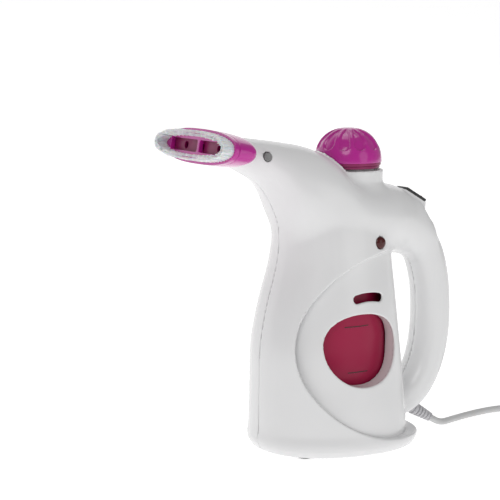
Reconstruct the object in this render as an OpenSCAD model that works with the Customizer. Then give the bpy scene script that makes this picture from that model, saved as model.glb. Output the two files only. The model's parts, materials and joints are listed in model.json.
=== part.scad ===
// Handheld garment steamer with a swan neck, a loop handle and a clip-on brush.
// Millimetres. +Z is up, -X is the way the steam leaves, and the origin is on
// the standing surface under the middle of the base.

/* [Body] */
// Length of the base, front to rear
base_l = 133; // [131:1:136]
// Width of the base
base_w = 115; // [113:1:118]
// Wall thickness of the housing
wall = 2.5; // [2.2:0.1:2.8]
// Depth of the side panel below the front skin
panel_step = 3.2; // [2.5:0.1:3.8]
// Height of the standing gap under the housing
skirt_gap = 1.5; // [1:0.1:2]

/* [Filler] */
// Distance of the filler axis behind the base centre
filler_x = 13; // [12:0.5:14]
// Height of the filler collar
collar_z = 215; // [214:0.5:216]
// Outer radius of the filler collar
collar_r = 27; // [26.5:0.1:27.5]
// Inner radius of the filler neck
filler_r = 17.5; // [17:0.1:18]
// Height of the cap's dome
dome_h = 26; // [24:0.5:28]
// Radius of the cap's dome
dome_r = 26; // [25:0.1:26.2]

/* [Steam head] */
// Length of the steam head across the neck
head_l = 115; // [105:1:120]
// Height of the steam head
head_h = 26; // [25:0.5:28]
// Depth of the steam head
head_d = 17; // [16:0.5:18]
// Tilt of the neck's end above level
head_tilt = 10; // [8:0.5:12]
// Length of the bristles
bristle_l = 9; // [7:0.5:11]

/* [Switch] */
// Length of the switch bezel
bezel_l = 21; // [20.6:0.2:22]
// Width of the switch bezel
bezel_w = 15; // [14.6:0.2:16]
// Slope of the switch panel below level
bezel_tilt = 30.5; // [29:0.5:32]

/* [Cord] */
// Diameter of the supply cord
cord_d = 5.4; // [5:0.1:6]

/* [Hidden] */

big = 400;               // larger than the whole object
kx = base_l / 133;       // stretch of the body's outline with the base
ky = base_w / 115;
ring_n = 36;             // points round a body section
fit = 0.3;               // gap between moulded parts

// Body skin, stations up its height: height, front, rear, half width
SKIN = [for (s = [
    [skirt_gap, -63.8, 64.2, 54.8], [5, -66.3, 66.8, 57.3], [19, -66.5, 65.8, 57],
    [55, -65.8, 60, 54.8], [82, -65.3, 56, 52.3], [110, -60.3, 52, 48.8],
    [146, -50.6, 46, 43.3], [173, -47, 44, 39.5], [190, -44, 42, 35.5],
    [202, -34, 37, 26]]) [s[0], s[1] * kx, s[2] * kx, s[3] * ky]];

// Recessed side panel and rear wall, same columns
PANEL = [for (s = [
    [skirt_gap, -58, 57.5, 54.5], [17, -58, 57.1, 57], [55, -57, 54.2, 54.8],
    [82, -56, 51.6, 52.3], [110, -52, 49.1, 48.8], [146, -44, 45.6, 43.3],
    [173, -40, 43.5, 39.5], [190, -36, 38, 33]])
    [s[0], s[1] * kx, s[2] * kx, s[3] * ky - panel_step]];

// Neck, top and handle root, stations along it: place, top, bottom, half width
CREST = [[-100, 243.7, 224.8, 19.3], [-88, 243, 219, 20], [-78, 241.8, 213.5, 20.7],
    [-69, 240.6, 208, 22], [-61, 239.5, 199, 24.5], [-54, 238.5, 187, 27.5],
    [-48, 237.5, 172, 30.5], [-36, 235.5, 160, 34.5], [-20, 230.5, 160, 37],
    [-8, 223.5, 160, 38], [3, 212.5, 160, 38.5], [16, 206, 158, 38],
    [30, 204.5, 153, 36], [44, 203, 149, 32], [57, 199.5, 147, 25],
    [68, 193.5, 146, 19.5], [79, 186, 147, 15.5], [85.5, 171, 150, 13]];

// Middle of the handle in the plane y = 0: x, z, half thickness
GRIP = [[60, 168, 17], [73.5, 160, 15.4], [84, 146, 14.6], [90, 126, 14.2],
    [92, 105, 14.2], [91.6, 84, 14.2], [88, 64, 13.8], [80.8, 46.5, 13.4],
    [69.5, 33, 13.2], [53, 26, 13]];
grip_w = 16;             // half width of the handle

// Outline where the front skin steps down to the side panel
panel_c = [35, 80];
panel_a = 88;
panel_up = 74;
panel_down = 69;

// Window on each side and the sight slot above it
window_c = [-1, 81];
window_a = 32;
window_b = 27.5;
slot_c = [5, 121];
slot_r = 46;             // the slot follows an arc above the window
slot_h = 6.5;
slot_half = 16;          // degrees each way

// Water tank, same columns as the body
TANK = [[44, -44, 38, 33], [50, -49, 42, 36.3], [80, -50, 43, 37],
    [110, -47, 41, 36], [135, -40, 38, 33], [155, -31, 35, 28],
    [166, -19, 33.8, 23], [173, filler_x - 20.5, filler_x + 20.5, 20.5]];
tank_wall = 2;
heater_x = -3;           // axis of the heater under the tank
heater_top = 42;
boil_r = 28;
lug_r = 36;              // pitch radius of the tank screws
lug_angles = [25, 155, 205, 335];
port_x = -21;            // steam port on the tank's front shoulder

// Neck's end, where the steam head plugs in
head_o = [-97, 0, 233.5];
spigot_r = 7.5;
spigot_l = 31;
socket_t = 1.6;
button_back = 27;        // how far behind the neck's end the buttons are
button_r = 3.1;
collar_y = -17.2;        // outer face of the button's collar
spring_r = 4.1;

// Switch on the handle's shoulder
switch_o = [72, 0, 191.6];

indicator = [18.6, -38.2, 161];
lens_r = 4.7;

// Screws through the housing halves: x, z, seat of the head
CASE_SCREWS = [[-54, 20, 14], [42, 29, 14], [-38, 182, 14], [40, 176, 10],
    [90.3, 104, 7]];
BASE_SCREWS = [[-20, -40], [20, -40], [-20, 40], [20, 40]];
FEET = [[-42, -30], [42, -30], [-42, 30], [42, 30]];

// Strain relief and the cord's route, from the handle's foot to the coil
relief_a = [73, 0, 21];
relief_b = [93.5, 0, 9];
relief_l = norm(relief_b - relief_a);
relief_tilt = acos((relief_b - relief_a)[2] / relief_l);
coil_c = [250, 41];
coil_in = 18.6;
coil_out = 40.2;
coil_h = 2 * cord_d;
CORD = [[93.5, 0, 9], [97.5, 0.2, 6.6], [102, 0.8, 4.4], [107.5, 2, 3], [114, 4, 2.7],
    [123, 7, 2.7], [134, 10.5, 2.7], [145, 13.5, 2.7], [157, 16, 2.7], [169, 17.5, 2.7],
    [181, 17, 2.7], [193, 14.5, 2.7], [207, 11, 2.7], [221, 7.5, 2.7],
    [235, 5, 2.7], [242, 4, 2.7]];
TAIL = [[258, 4.3, 7.9], [270, 4, 7.2], [281, 6.5, 5.9], [291, 11.5, 4.5],
    [299, 19, 4.1], [304.5, 29, 4.6], [307, 40, 5.6], [307.5, 51, 6.4],
    [307.5, 58, 6.5]];
plug_o = [307.5, 58, 6.5];

// ---- Curves and lofts ----

function tangent(T, i, c) = let (n = len(T) - 1, a = max(0, i - 1), b = min(n, i + 1))
    (T[b][c] - T[a][c]) / (T[b][0] - T[a][0]);
function segment(T, x, i = 0) = i >= len(T) - 2 || x <= T[i + 1][0] ? i
    : segment(T, x, i + 1);
// Smooth value of column c of table T at x
function smooth(T, x, c) = let (i = segment(T, x), h = T[i + 1][0] - T[i][0],
    t = (x - T[i][0]) / h, t2 = t * t, t3 = t2 * t)
    (2 * t3 - 3 * t2 + 1) * T[i][c] + (t3 - 2 * t2 + t) * h * tangent(T, i, c)
    + (3 * t2 - 2 * t3) * T[i + 1][c] + (t3 - t2) * h * tangent(T, i + 1, c);
// Table T filled out with extra stations between each pair
function refine(T, k) = concat([for (i = [0:len(T) - 2]) for (j = [0:k - 1])
    let (x = T[i][0] + (T[i + 1][0] - T[i][0]) * j / k)
    [x, smooth(T, x, 1), smooth(T, x, 2), smooth(T, x, 3)]], [T[len(T) - 1]]);

function lobe(c, e) = sign(c) * pow(abs(c), 2 / e);
// Level ring from a station: height, front, rear, half width
function level_ring(s, n, e) = [for (i = [0:n - 1]) let (a = 360 * i / n)
    [(s[1] + s[2]) / 2 + (s[2] - s[1]) / 2 * lobe(cos(a), e),
    s[3] * lobe(sin(a), e), s[0]]];
// Upright ring from a station: place, top, bottom, half width
function upright_ring(s, n, e) = [for (i = [0:n - 1]) let (a = 360 * i / n)
    [s[0], s[3] * lobe(cos(a), e),
    (s[1] + s[2]) / 2 + (s[1] - s[2]) / 2 * lobe(sin(a), e)]];

module loft(rings) {
    n = len(rings[0]);
    m = len(rings);
    polyhedron(points = [for (r = rings) for (p = r) p], faces = concat(
        [[for (i = [0:n - 1]) i]],
        [for (j = [0:m - 2]) for (i = [0:n - 1]) let (k = (i + 1) % n)
            [j * n + i, (j + 1) * n + i, (j + 1) * n + k, j * n + k]],
        [[for (i = [n - 1:-1:0]) (m - 1) * n + i]]));
}

function unit(v) = v / norm(v);
function along(P, i) = unit(P[min(len(P) - 1, i + 1)] - P[max(0, i - 1)]);
// Ring of radii r[0] sideways and r[1] across, about point i of path P
function path_ring(P, i, r, n, side, e = 2) = let (t = along(P, i),
    a = unit(cross(side, t)), b = cross(t, a))
    [for (k = [0:n - 1]) P[i] + a * r[0] * lobe(cos(360 * k / n), e)
    + b * r[1] * lobe(sin(360 * k / n), e)];
module tube(P, r, n = 10, side = [0, 0, 1]) {
    loft([for (i = [0:len(P) - 1]) path_ring(P, i, [r, r], n, side)]);
}
// Points between the given ones, on a smooth curve
function spline(P, k) = concat([for (i = [0:len(P) - 2]) for (j = [0:k - 1])
    let (a = P[max(0, i - 1)], b = P[i], c = P[i + 1], d = P[min(len(P) - 1, i + 2)],
    t = j / k, t2 = t * t, t3 = t2 * t)
    ((2 * b) + (c - a) * t + (2 * a - 5 * b + 4 * c - d) * t2
    + (3 * b - a - 3 * c + d) * t3) / 2], [P[len(P) - 1]]);

module one_mesh() {
    resize([0, 0, 0]) children();
}
module side_bar(x, z, r, y0, y1, n = 24) {
    translate([x, y0, z]) rotate([-90, 0, 0]) cylinder(r = r, h = y1 - y0, $fn = n);
}
module at_head() {
    translate(head_o) rotate([0, head_tilt - 90, 0]) children();
}
module at_switch() {
    translate(switch_o) rotate([0, bezel_tilt, 0]) children();
}
module at_relief() {
    translate(relief_a) rotate([0, relief_tilt, 0]) children();
}

// ---- Housing ----

module panel_cut(grow) {
    top = [for (a = [90:9:180]) panel_c
        + [(panel_a + grow) * cos(a), (panel_up + grow) * sin(a)]];
    low = [for (a = [189:9:270]) panel_c
        + [(panel_a + grow) * cos(a), (panel_down + grow) * sin(a)]];
    rear = [[big, low[len(low) - 1][1] - 7], [big, top[0][1]]];
    rotate([90, 0, 0]) translate([0, 0, -big / 2])
        linear_extrude(big) polygon(concat(top, low, rear));
}
function shrink(T, d) = [for (s = T) [s[0], s[1] + d, s[2] - d, s[3] - d]];
function shrink_crest(d) = [for (s = CREST) [s[0], s[1] - d, s[2] + d, s[3] - d]];
function grip_path() = spline([for (g = GRIP) [g[0], 0, g[1]]], 2);
function grip_half(i) = let (j = floor(i / 2), k = min(j + 1, len(GRIP) - 1))
    GRIP[j][2] + (GRIP[k][2] - GRIP[j][2]) * (i / 2 - j);

// The outer form, or the coarser hollow inside it when d is the wall
module form(d = 0) {
    P = grip_path();
    n = d > 0 ? 24 : ring_n;
    k = d > 0 ? 1 : 2;
    difference() {
        loft([for (s = refine(shrink(SKIN, d), k)) level_ring(s, n, 2.2)]);
        panel_cut(d);
    }
    loft([for (s = refine(shrink(PANEL, d), 1)) level_ring(s, n, 2.2)]);
    loft([for (s = shrink_crest(d)) upright_ring(s, d > 0 ? 18 : 28, 2.1)]);
    loft([for (i = [0:3 - k:len(P) - 1])
        path_ring(P, i, [grip_half(i) - d, grip_w - d], d > 0 ? 12 : 18, [0, 1, 0], 2.5)]);
}
module window_shape(grow = 0) {
    polygon([for (a = [0:12:348]) window_c
        + [(window_a + grow) * (1 + 0.1 * sin(a)) * cos(a), (window_b + grow) * sin(a)]]);
}
module slot_shape() {
    low = slot_c - [0, slot_r];
    polygon(concat(
        [for (a = [-slot_half:4:slot_half]) low + (slot_r + slot_h / 2) * [sin(a), cos(a)]],
        [for (a = [slot_half:-4:-slot_half]) low + (slot_r - slot_h / 2) * [sin(a), cos(a)]]));
}
module screw_columns() {
    for (s = CASE_SCREWS) side_bar(s[0], s[1], 4.2, -60, 60, 16);
    for (s = BASE_SCREWS) {
        translate([s[0], s[1], 5]) cylinder(r = 4, h = 17, $fn = 16);
        translate([s[0] - 1.5, s[1] > 0 ? s[1] : s[1] - 30, 5]) cube([3, 30, 15]);
    }
}
module housing() {
    difference() {
        union() {
            form();
            translate([filler_x, 0, 195]) cylinder(r = collar_r, h = collar_z - 195, $fn = 48);
        }
        difference() {
            union() {
                form(wall);
                translate([filler_x, 0, 190])
                    cylinder(r = collar_r - wall, h = collar_z - 193, $fn = 32);
                translate([0, 0, -1]) loft([for (z = [0, 4])
                    level_ring([z, SKIN[1][1] + wall, SKIN[1][2] - wall, SKIN[1][3] - wall],
                    ring_n, 2.2)]);
            }
            screw_columns();
        }
        // Well for the cap and the hole for the filler neck
        translate([filler_x, 0, collar_z]) cylinder(r = collar_r + 0.2, h = 60, $fn = 48);
        translate([filler_x, 0, 195]) cylinder(r = filler_r + 3.3, h = 40, $fn = 36);
        // Neck mouth
        at_head() translate([0, 0, -spigot_l - 2])
            cylinder(r = spigot_r + socket_t + 0.2, h = spigot_l + 20, $fn = 32);
        at_head() translate([-big / 2, -big / 2, 0]) cube([big, big, big]);
        rotate([90, 0, 0]) translate([0, 0, -60]) linear_extrude(120) {
            window_shape();
            slot_shape();
        }
        side_bar(indicator[0], indicator[2], lens_r + 0.1, -60, 0);
        at_switch() translate([-9.7, -6.7, -22]) cube([19.4, 13.4, 60]);
        at_relief() translate([0, 0, -15]) cylinder(r = 4.7, h = 40, $fn = 24);
        at_head() for (m = [0, 1]) mirror([0, m, 0]) translate([0, -big / 2, -button_back])
            rotate([-90, 0, 0]) {
            cylinder(r = button_r + fit, h = big / 2 - 4, $fn = 24);
            translate([0, 0, big / 2 + collar_y - fit]) cylinder(r = button_r + 2.1, h = 12, $fn = 24);
        }
        for (s = CASE_SCREWS) {
            side_bar(s[0], s[1], 1.6, -10, 30, 13);
            side_bar(s[0], s[1], 3.4, s[2], 70, 16);
        }
        for (s = BASE_SCREWS) translate([s[0], s[1], 4]) cylinder(r = 1.6, h = 15, $fn = 13);
    }
}
module housing_left() {
    color("#F2F2F2") one_mesh() intersection() {
        housing();
        translate([-big / 2, -big, -big / 2]) cube([big, big, 2 * big]);
    }
}
module housing_right() {
    color("#F2F2F2") one_mesh() intersection() {
        housing();
        translate([-big / 2, 0, -big / 2]) cube([big, big, 2 * big]);
    }
}

// ---- Base ----

module base_plate() {
    s = SKIN[0];
    edge = wall + fit;
    outline = [for (p = level_ring([0, s[1] + edge, s[2] - edge, s[3] - edge], 48, 2.2))
        [p[0], p[1]]];
    color("#E4E4E4") difference() {
        union() {
            translate([0, 0, 2]) linear_extrude(3) polygon(outline);
            translate([40, -11, 5]) cube([4, 22, 2.5]);
        }
        for (f = FEET) translate([f[0], f[1], 1]) cylinder(r = 7, h = 2.2, $fn = 32);
        for (s = BASE_SCREWS) {
            translate([s[0], s[1], 1]) cylinder(r = 3.4, h = 2.2, $fn = 24);
            translate([s[0], s[1], 1]) cylinder(r = 1.6, h = 9, $fn = 24);
        }
    }
}
module rubber_feet() {
    color("#3A3A3A") for (f = FEET) translate([f[0], f[1], 0]) {
        cylinder(r1 = 6.2, r2 = 7, h = 1, $fn = 32);
        translate([0, 0, 1]) cylinder(r = 7, h = 2.2, $fn = 32);
    }
}
module base_screws() {
    color("silver") for (s = BASE_SCREWS) translate([s[0], s[1], 0]) {
        translate([0, 0, 1.8]) cylinder(r = 3.1, h = 1.4, $fn = 24);
        translate([0, 0, 3.2]) cylinder(r = 1.4, h = 14, $fn = 24);
    }
}
module housing_screws() {
    color("silver") for (s = CASE_SCREWS) {
        side_bar(s[0], s[1], 3.1, s[2], s[2] + 2.2);
        side_bar(s[0], s[1], 1.4, -8, s[2]);
    }
}

// ---- Tank and heater ----

module lug_points() {
    for (a = lug_angles) translate([heater_x + lug_r * cos(a), lug_r * sin(a), 0]) children();
}
module water_tank() {
    color("#B02A60") one_mesh() difference() {
        union() {
            loft([for (s = refine(TANK, 2)) level_ring(s, 32, 2.1)]);
            translate([port_x, 0, 150]) cylinder(r = 4.2, h = 28, $fn = 20);
        }
        difference() {
            loft([for (s = refine(shrink(TANK, tank_wall), 2))
                level_ring([s[0] + (s[0] < 50 ? 2 : 0), s[1], s[2], s[3]], 32, 2.1)]);
            lug_points() translate([0, 0, 40]) cylinder(r = 3.2, h = 14, $fn = 16);
        }
        translate([filler_x, 0, 165]) cylinder(r = filler_r, h = 20, $fn = 40);
        translate([heater_x, 0, 30]) cylinder(r = boil_r, h = 18, $fn = 40);
        translate([port_x, 0, 140]) cylinder(r = 2.6, h = 50, $fn = 16);
        lug_points() translate([0, 0, 40]) cylinder(r = 1.6, h = 12, $fn = 16);
    }
}
module ring(r_out, r_in, z0, z1, n = 64) {
    translate([0, 0, z0]) difference() {
        cylinder(r = r_out, h = z1 - z0, $fn = n);
        translate([0, 0, -1]) cylinder(r = r_in, h = z1 - z0 + 2, $fn = n);
    }
}
module filler_neck() {
    color("#F0F0F0") translate([filler_x, 0, 0]) {
        ring(filler_r + 3, filler_r, 173, collar_z + 2);
        difference() {
            ring(filler_r + 5.5, filler_r + 2, collar_z - 7, collar_z - 3.2);
            ring(filler_r + 2.5, filler_r - 1, collar_z - 8, collar_z - 2);
        }
    }
}
module heater_gasket() {
    color("#D8D8D0") translate([heater_x, 0, 0]) ring(31.5, boil_r, heater_top, 44);
}
module heater_plate() {
    color("#B8BCC0") difference() {
        union() {
            translate([heater_x, 0, 34]) cylinder(r = 33, h = heater_top - 34, $fn = 64);
            lug_points() translate([0, 0, 38]) cylinder(r = 5, h = heater_top - 38, $fn = 32);
        }
        translate([heater_x, 0, 37]) cylinder(r = 27, h = 9, $fn = 64);
        lug_points() translate([0, 0, 36]) cylinder(r = 1.8, h = 9, $fn = 24);
    }
}
module heating_element() {
    color("#8C8478") translate([heater_x, 0, 30.7]) {
        rotate([0, 0, 35]) rotate_extrude(angle = 290, $fn = 48) translate([22, 0])
            circle(r = 3.25, $fn = 20);
        for (a = [35, 325]) translate([22 * cos(a), 22 * sin(a), -11])
            cylinder(r = 2.2, h = 11, $fn = 20);
    }
}
module tank_screws() {
    color("silver") lug_points() {
        translate([0, 0, 35.8]) cylinder(r = 3, h = 2.2, $fn = 24);
        translate([0, 0, 38]) cylinder(r = 1.4, h = 12, $fn = 24);
    }
}
module thermostat() {
    color("#6B4A2F") translate([heater_x, 0, 0]) {
        translate([0, 0, 25]) cylinder(r = 8, h = 9, $fn = 32);
        for (m = [-1, 1]) translate([m * 4 - 0.4, -3, 18]) cube([0.8, 6, 7]);
    }
}
module thermal_fuse() {
    color("#C8C0A8") side_bar(heater_x, 30, 2.2, 9, 14);
    color("#C8C0A8") translate([heater_x - 6, 10.5, 29.2]) cube([12, 2.4, 4.8]);
}
module steam_tube() {
    P = spline([[port_x, 0, 178], [port_x, 0, 186], [-23, 0, 198], [-29, 0, 209],
        [-39, 0, 218], [-51, 0, 224], [-60, 0, 226.4], [-65, 0, 227.7]], 2);
    color("#F0EDE4") one_mesh() difference() {
        tube(P, 4.4, 12, [0, 1, 0]);
        tube(P, 2.9, 10, [0, 1, 0]);
    }
}

// ---- Neck's end ----

module head_socket() {
    slot_z = -button_back - button_r - 1;
    color("#E0E0E0") at_head() difference() {
        translate([0, 0, -spigot_l - 1]) cylinder(r = spigot_r + socket_t, h = spigot_l + 0.5,
            $fn = 48);
        translate([0, 0, -spigot_l]) cylinder(r = spigot_r + 0.1, h = spigot_l + 2, $fn = 48);
        translate([0, 0, -spigot_l - 3]) cylinder(r = 3, h = 6, $fn = 32);
        for (m = [0, 1]) mirror([0, m, 0]) translate([-button_r - fit, -12, slot_z])
            cube([2 * (button_r + fit), 8, 2 * button_r + 2]);
    }
}
module socket_seal() {
    color("#505050") at_head() translate([0, 0, -spigot_l]) difference() {
        cylinder(r = 5.6, h = 1.6, $fn = 40);
        translate([0, 0, -1]) cylinder(r = 3.6, h = 4, $fn = 40);
    }
}
module at_button() {
    at_head() translate([0, 0, -button_back]) rotate([-90, 0, 0]) children();
}
// Button on the -Y side: a pin with a collar that stops it inside the skin
module button() {
    at_button() {
        translate([0, 0, -22.3]) cylinder(r = button_r, h = 13.3, $fn = 32);
        translate([0, 0, collar_y]) cylinder(r = button_r + 1.6, h = 0.9, $fn = 32);
    }
}
module release_button_left() {
    color("#6A6A6A") button();
}
module release_button_right() {
    color("#6A6A6A") mirror([0, 1, 0]) button();
}
// Spring from the button's collar to the socket's wall
module button_spring() {
    y0 = collar_y + 1.4;
    y1 = -spigot_r - socket_t - 0.7;
    coil = [for (i = [0:28]) let (a = i * 45)
        [spring_r * cos(a), spring_r * sin(a), y0 + (y1 - y0) * i / 28]];
    at_button() tube(coil, 0.4, 6);
}
module button_spring_left() {
    color("silver") button_spring();
}
module button_spring_right() {
    color("silver") mirror([0, 1, 0]) button_spring();
}

// ---- Steam head and brush ----

// Oval outline of the head, smaller by d all round
module head_oval(d, grow_y = 0) {
    a = head_h / 2 - d;
    b = head_l / 2 - d + grow_y;
    polygon([for (t = [0:7.5:352.5]) [a * lobe(cos(t), 2.3), b * lobe(sin(t), 2.5)]]);
}
function head_ring(z, d, dy, n = 48) = [for (i = [0:n - 1]) let (t = 360 * i / n)
    [(head_h / 2 - d) * lobe(cos(t), 2.3), (head_l / 2 - dy) * lobe(sin(t), 2.5), z]];
module head_shell() {
    rise = [[0.8, 4, 6], [2.2, 2, 2.6], [4.5, 0.8, 1], [9, 0.2, 0.3], [head_d, 0, 0]];
    color("#C81E9B") at_head() one_mesh() difference() {
        loft([for (s = rise) head_ring(s[0], s[1], s[2])]);
        loft([for (s = rise) head_ring(s[0] + 1.8, s[1] + 1.8, s[2] + 1.8)]);
        translate([0, 0, -2]) cylinder(r = spigot_r + 0.1, h = 8, $fn = 32);
    }
}
module head_spigot() {
    color("#A8187F") at_head() difference() {
        union() {
            translate([0, 0, -spigot_l + 2]) cylinder(r = spigot_r, h = spigot_l + 3.3, $fn = 48);
            translate([0, 0, 4.1]) cylinder(r = 8.5, h = 1.2, $fn = 48);
        }
        translate([0, 0, -spigot_l]) cylinder(r = 5.6, h = spigot_l + 8, $fn = 48);
        translate([-button_r - 0.8, -12, -spigot_l - 1]) cube([2 * button_r + 1.6, 24,
            spigot_l - button_back + button_r + 2]);
    }
}
module head_face() {
    color("#B81A8E") at_head() difference() {
        translate([0, 0, head_d - 2.4]) linear_extrude(2.4) head_oval(2.1);
        for (y = [-26, 0, 26]) translate([0, y, head_d - 4]) cylinder(r = 3, h = 8, $fn = 32);
        for (y = [-49, 49]) translate([-3, y - 2.5, head_d - 4]) cube([6, 5, 8]);
    }
}
module brush_frame() {
    z0 = head_d + 0.3;
    color("#D138B0") at_head() {
        translate([0, 0, z0]) difference() {
            linear_extrude(3.4) head_oval(0);
            translate([0, 0, -1]) linear_extrude(6) for (s = [[-44, -1.5], [1.5, 44]])
                translate([-4.6, s[0]]) square([9.2, s[1] - s[0]]);
        }
        // Tongues that plug into the head's face
        for (y = [-49, 49]) translate([-2.7, y - 2.2, z0 - 2.4]) cube([5.4, 4.4, 2.4]);
    }
}
module brush_bristles() {
    z0 = head_d + 3.7;
    rows = [[1.9, 52], [4.9, 44]];
    color("#FAFAFA") at_head() translate([0, 0, z0]) for (row = rows) {
        a = head_h / 2 - row[0];
        b = head_l / 2 - row[0];
        for (i = [0:row[1] - 1]) let (t = 360 * i / row[1])
            if (abs(a * lobe(cos(t), 2.3)) > 5.4 || abs(b * lobe(sin(t), 2.5)) > 45)
            translate([a * lobe(cos(t), 2.3), b * lobe(sin(t), 2.5), 0])
            cylinder(r = 1.1, h = bristle_l, $fn = 6);
    }
}

// ---- Cap ----

module cap_dome() {
    low = collar_z + 6;
    outer = [for (a = [0:6:90]) [dome_r * lobe(cos(a), 2.25), dome_h * lobe(sin(a), 2.25)]];
    inner = [for (a = [90:-6:0]) [(dome_r - 2.2) * lobe(cos(a), 2.25),
        (dome_h - 2.4) * lobe(sin(a), 2.25)]];
    color("#C81E9B") translate([filler_x, 0, low]) rotate_extrude($fn = 64)
        polygon(concat(outer, inner));
}
module cap_liner() {
    color("#A01880") translate([filler_x, 0, 0]) {
        difference() {
            translate([0, 0, collar_z + 3.6]) cylinder(r = 25.4, h = 2.4, $fn = 64);
            ring(14, 0, collar_z + 2, collar_z + 7);
        }
        ring(filler_r - 0.4, filler_r - 3, collar_z - 8, collar_z + 4, 48);
        translate([0, 0, collar_z + 4]) cylinder(r = filler_r - 2, h = 2, $fn = 48);
    }
}
module cap_seal() {
    color("#808080") translate([filler_x, 0, 0])
        ring(filler_r + 3, filler_r - 0.2, collar_z + 2, collar_z + 3.6);
}

// ---- Switch and indicator ----

module switch_bezel() {
    color("#1C1C1C") at_switch() translate([0, 0, 0.2]) difference() {
        translate([-bezel_l / 2, -bezel_w / 2, 0]) cube([bezel_l, bezel_w, 2.2]);
        translate([-8.6, -5.6, -1]) cube([17.2, 11.2, 5]);
    }
}
module switch_body() {
    color("#2A2A2A") at_switch() difference() {
        translate([-9.5, -6.5, -14]) cube([19, 13, 14.2]);
        translate([-8.6, -5.6, -7]) cube([17.2, 11.2, 12]);
        rotate([90, 0, 0]) translate([0, -1.5, -8]) cylinder(r = 1.55, h = 16, $fn = 32);
    }
}
module switch_terminals() {
    color("#C8A850") at_switch() for (x = [-5, 5])
        translate([x - 0.4, -2.4, -21]) cube([0.8, 4.8, 7]);
}
module switch_rocker() {
    color("#B01818") at_switch() {
        rotate([90, 0, 0]) translate([0, -1.5, -6.4]) cylinder(r = 1.5, h = 12.8, $fn = 32);
        translate([0, 0, -1.5]) rotate([90, 0, 0]) translate([0, 0, -5.3])
            linear_extrude(10.6) rotate(9) polygon([[7.6, 3.6], [0, 3.2], [-7.6, 3.6],
            [-7.8, -0.4], [0, -2], [7.8, -0.4]]);
    }
}
module indicator_lens() {
    color("#5A0A0A") translate([indicator[0], indicator[1], indicator[2]])
        rotate([-90, 0, 0]) translate([0, 0, -0.6]) cylinder(r = lens_r, h = 6, $fn = 40);
}
module indicator_lamp() {
    color("#E8D0C0") side_bar(indicator[0], indicator[2], 2.6, indicator[1] + 5.6,
        indicator[1] + 12, 32);
}
module lamp_holder() {
    color("#E8E8E8") translate([indicator[0], indicator[1] + 5.5, indicator[2]])
        rotate([-90, 0, 0]) ring(4.4, 2.7, 0, 6.5, 32);
}

// ---- Wiring ----

module terminal_block() {
    color("#E8E4D8") difference() {
        translate([24.5, -9, 5]) cube([14, 18, 10]);
        for (y = [-4.5, 4.5]) {
            translate([20, y, 9]) rotate([0, 90, 0]) cylinder(r = 1.9, h = 20, $fn = 24);
            for (x = [28, 35]) translate([x, y, 9]) cylinder(r = 1.7, h = 8, $fn = 24);
        }
    }
}
module cord_clamp() {
    color("#E8E4D8") {
        difference() {
            translate([40.2, -9.5, 7.5]) cube([3.6, 19, 8]);
            translate([36, 0, 7.5 + cord_d / 2]) rotate([0, 90, 0])
                cylinder(r = cord_d / 2, h = 12, $fn = 32);
            translate([36, -cord_d / 2, 5]) cube([12, cord_d, 2.5 + cord_d / 2]);
        }
    }
}
module inner_cord() {
    P = spline([[38.8, 0, 10.2], [41, 0, 10.2], [44.4, 0, 10.2], [48, 0, 12.4],
        [49.4, 0, 17], [50.4, 0, 22], [54.4, 0, 26.8], [60, 0, 27.8],
        for (b = [9, 5, 0.6]) relief_a - b * unit(relief_b - relief_a)], 3);
    color("#D0D0D0") tube(P, cord_d / 2 - 0.05, 10, [0, 1, 0]);
}
module live_wires() {
    up = spline([[26.5, -4.5, 9], [22, -5, 9.4], [20.6, -10.5, 11.5], [28, -13.6, 14],
        [40, -12, 15.4], [47, -8.8, 19.5], [50, -7.6, 25.2], [55, -7.4, 28.4], [63, -7.2, 30.5],
        [71, -6.8, 35.5], [80, -6.4, 47.5], [86, -6.4, 66], [84.4, -6, 86],
        [83.2, -6, 104], [82.8, -6, 122], [79, -5, 140], [73, -3.6, 155],
        [66.4, -1.5, 168.6]], 2);
    down = spline([[57, -1.5, 174.5], [52, -4, 166], [43.8, -7, 159.6], [39.6, -8.4, 151], [39.2, -9, 140],
        [42.6, -9, 110], [45, -9.6, 80], [46, -12, 50], [49.3, -12.6, 39],
        [49.4, -13, 29.5], [45, -12.5, 21.6], [31, -8.5, 18.6], [12, -4, 17],
        [1.6, -1, 16.8]], 2);
    color("#7A4A22") tube(up, 0.9, 8, [0, 1, 0]);
    color("#7A4A22") tube(down, 0.9, 8, [0, 1, 0]);
}
module neutral_wires() {
    feed = spline([[26.5, 4.5, 9], [22, 5, 9.3], [18.4, 8, 11.6], [15.6, 12, 16.4],
        [15.1, 12.6, 19.4]], 2);
    lamp = spline([[18.6, -25.2, 161], [24, -24.6, 160], [33, -18, 156.4], [37, -12, 153],
        [38, -4, 147], [39.4, 3, 140], [41.2, 7, 128], [43.2, 8, 110], [45, 9, 80], [46, 10.6, 50],
        [49.3, 12, 39], [49.4, 12.4, 29.5], [44, 12, 20.6], [34, 9, 19.4], [28.8, 5.2, 17],
        [28, 4.5, 12.5]], 2);
    color("#2A4A9A") tube(feed, 0.9, 8, [0, 1, 0]);
    color("#2A4A9A") tube(lamp, 0.9, 8, [0, 1, 0]);
}

// ---- Supply cord ----

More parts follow.
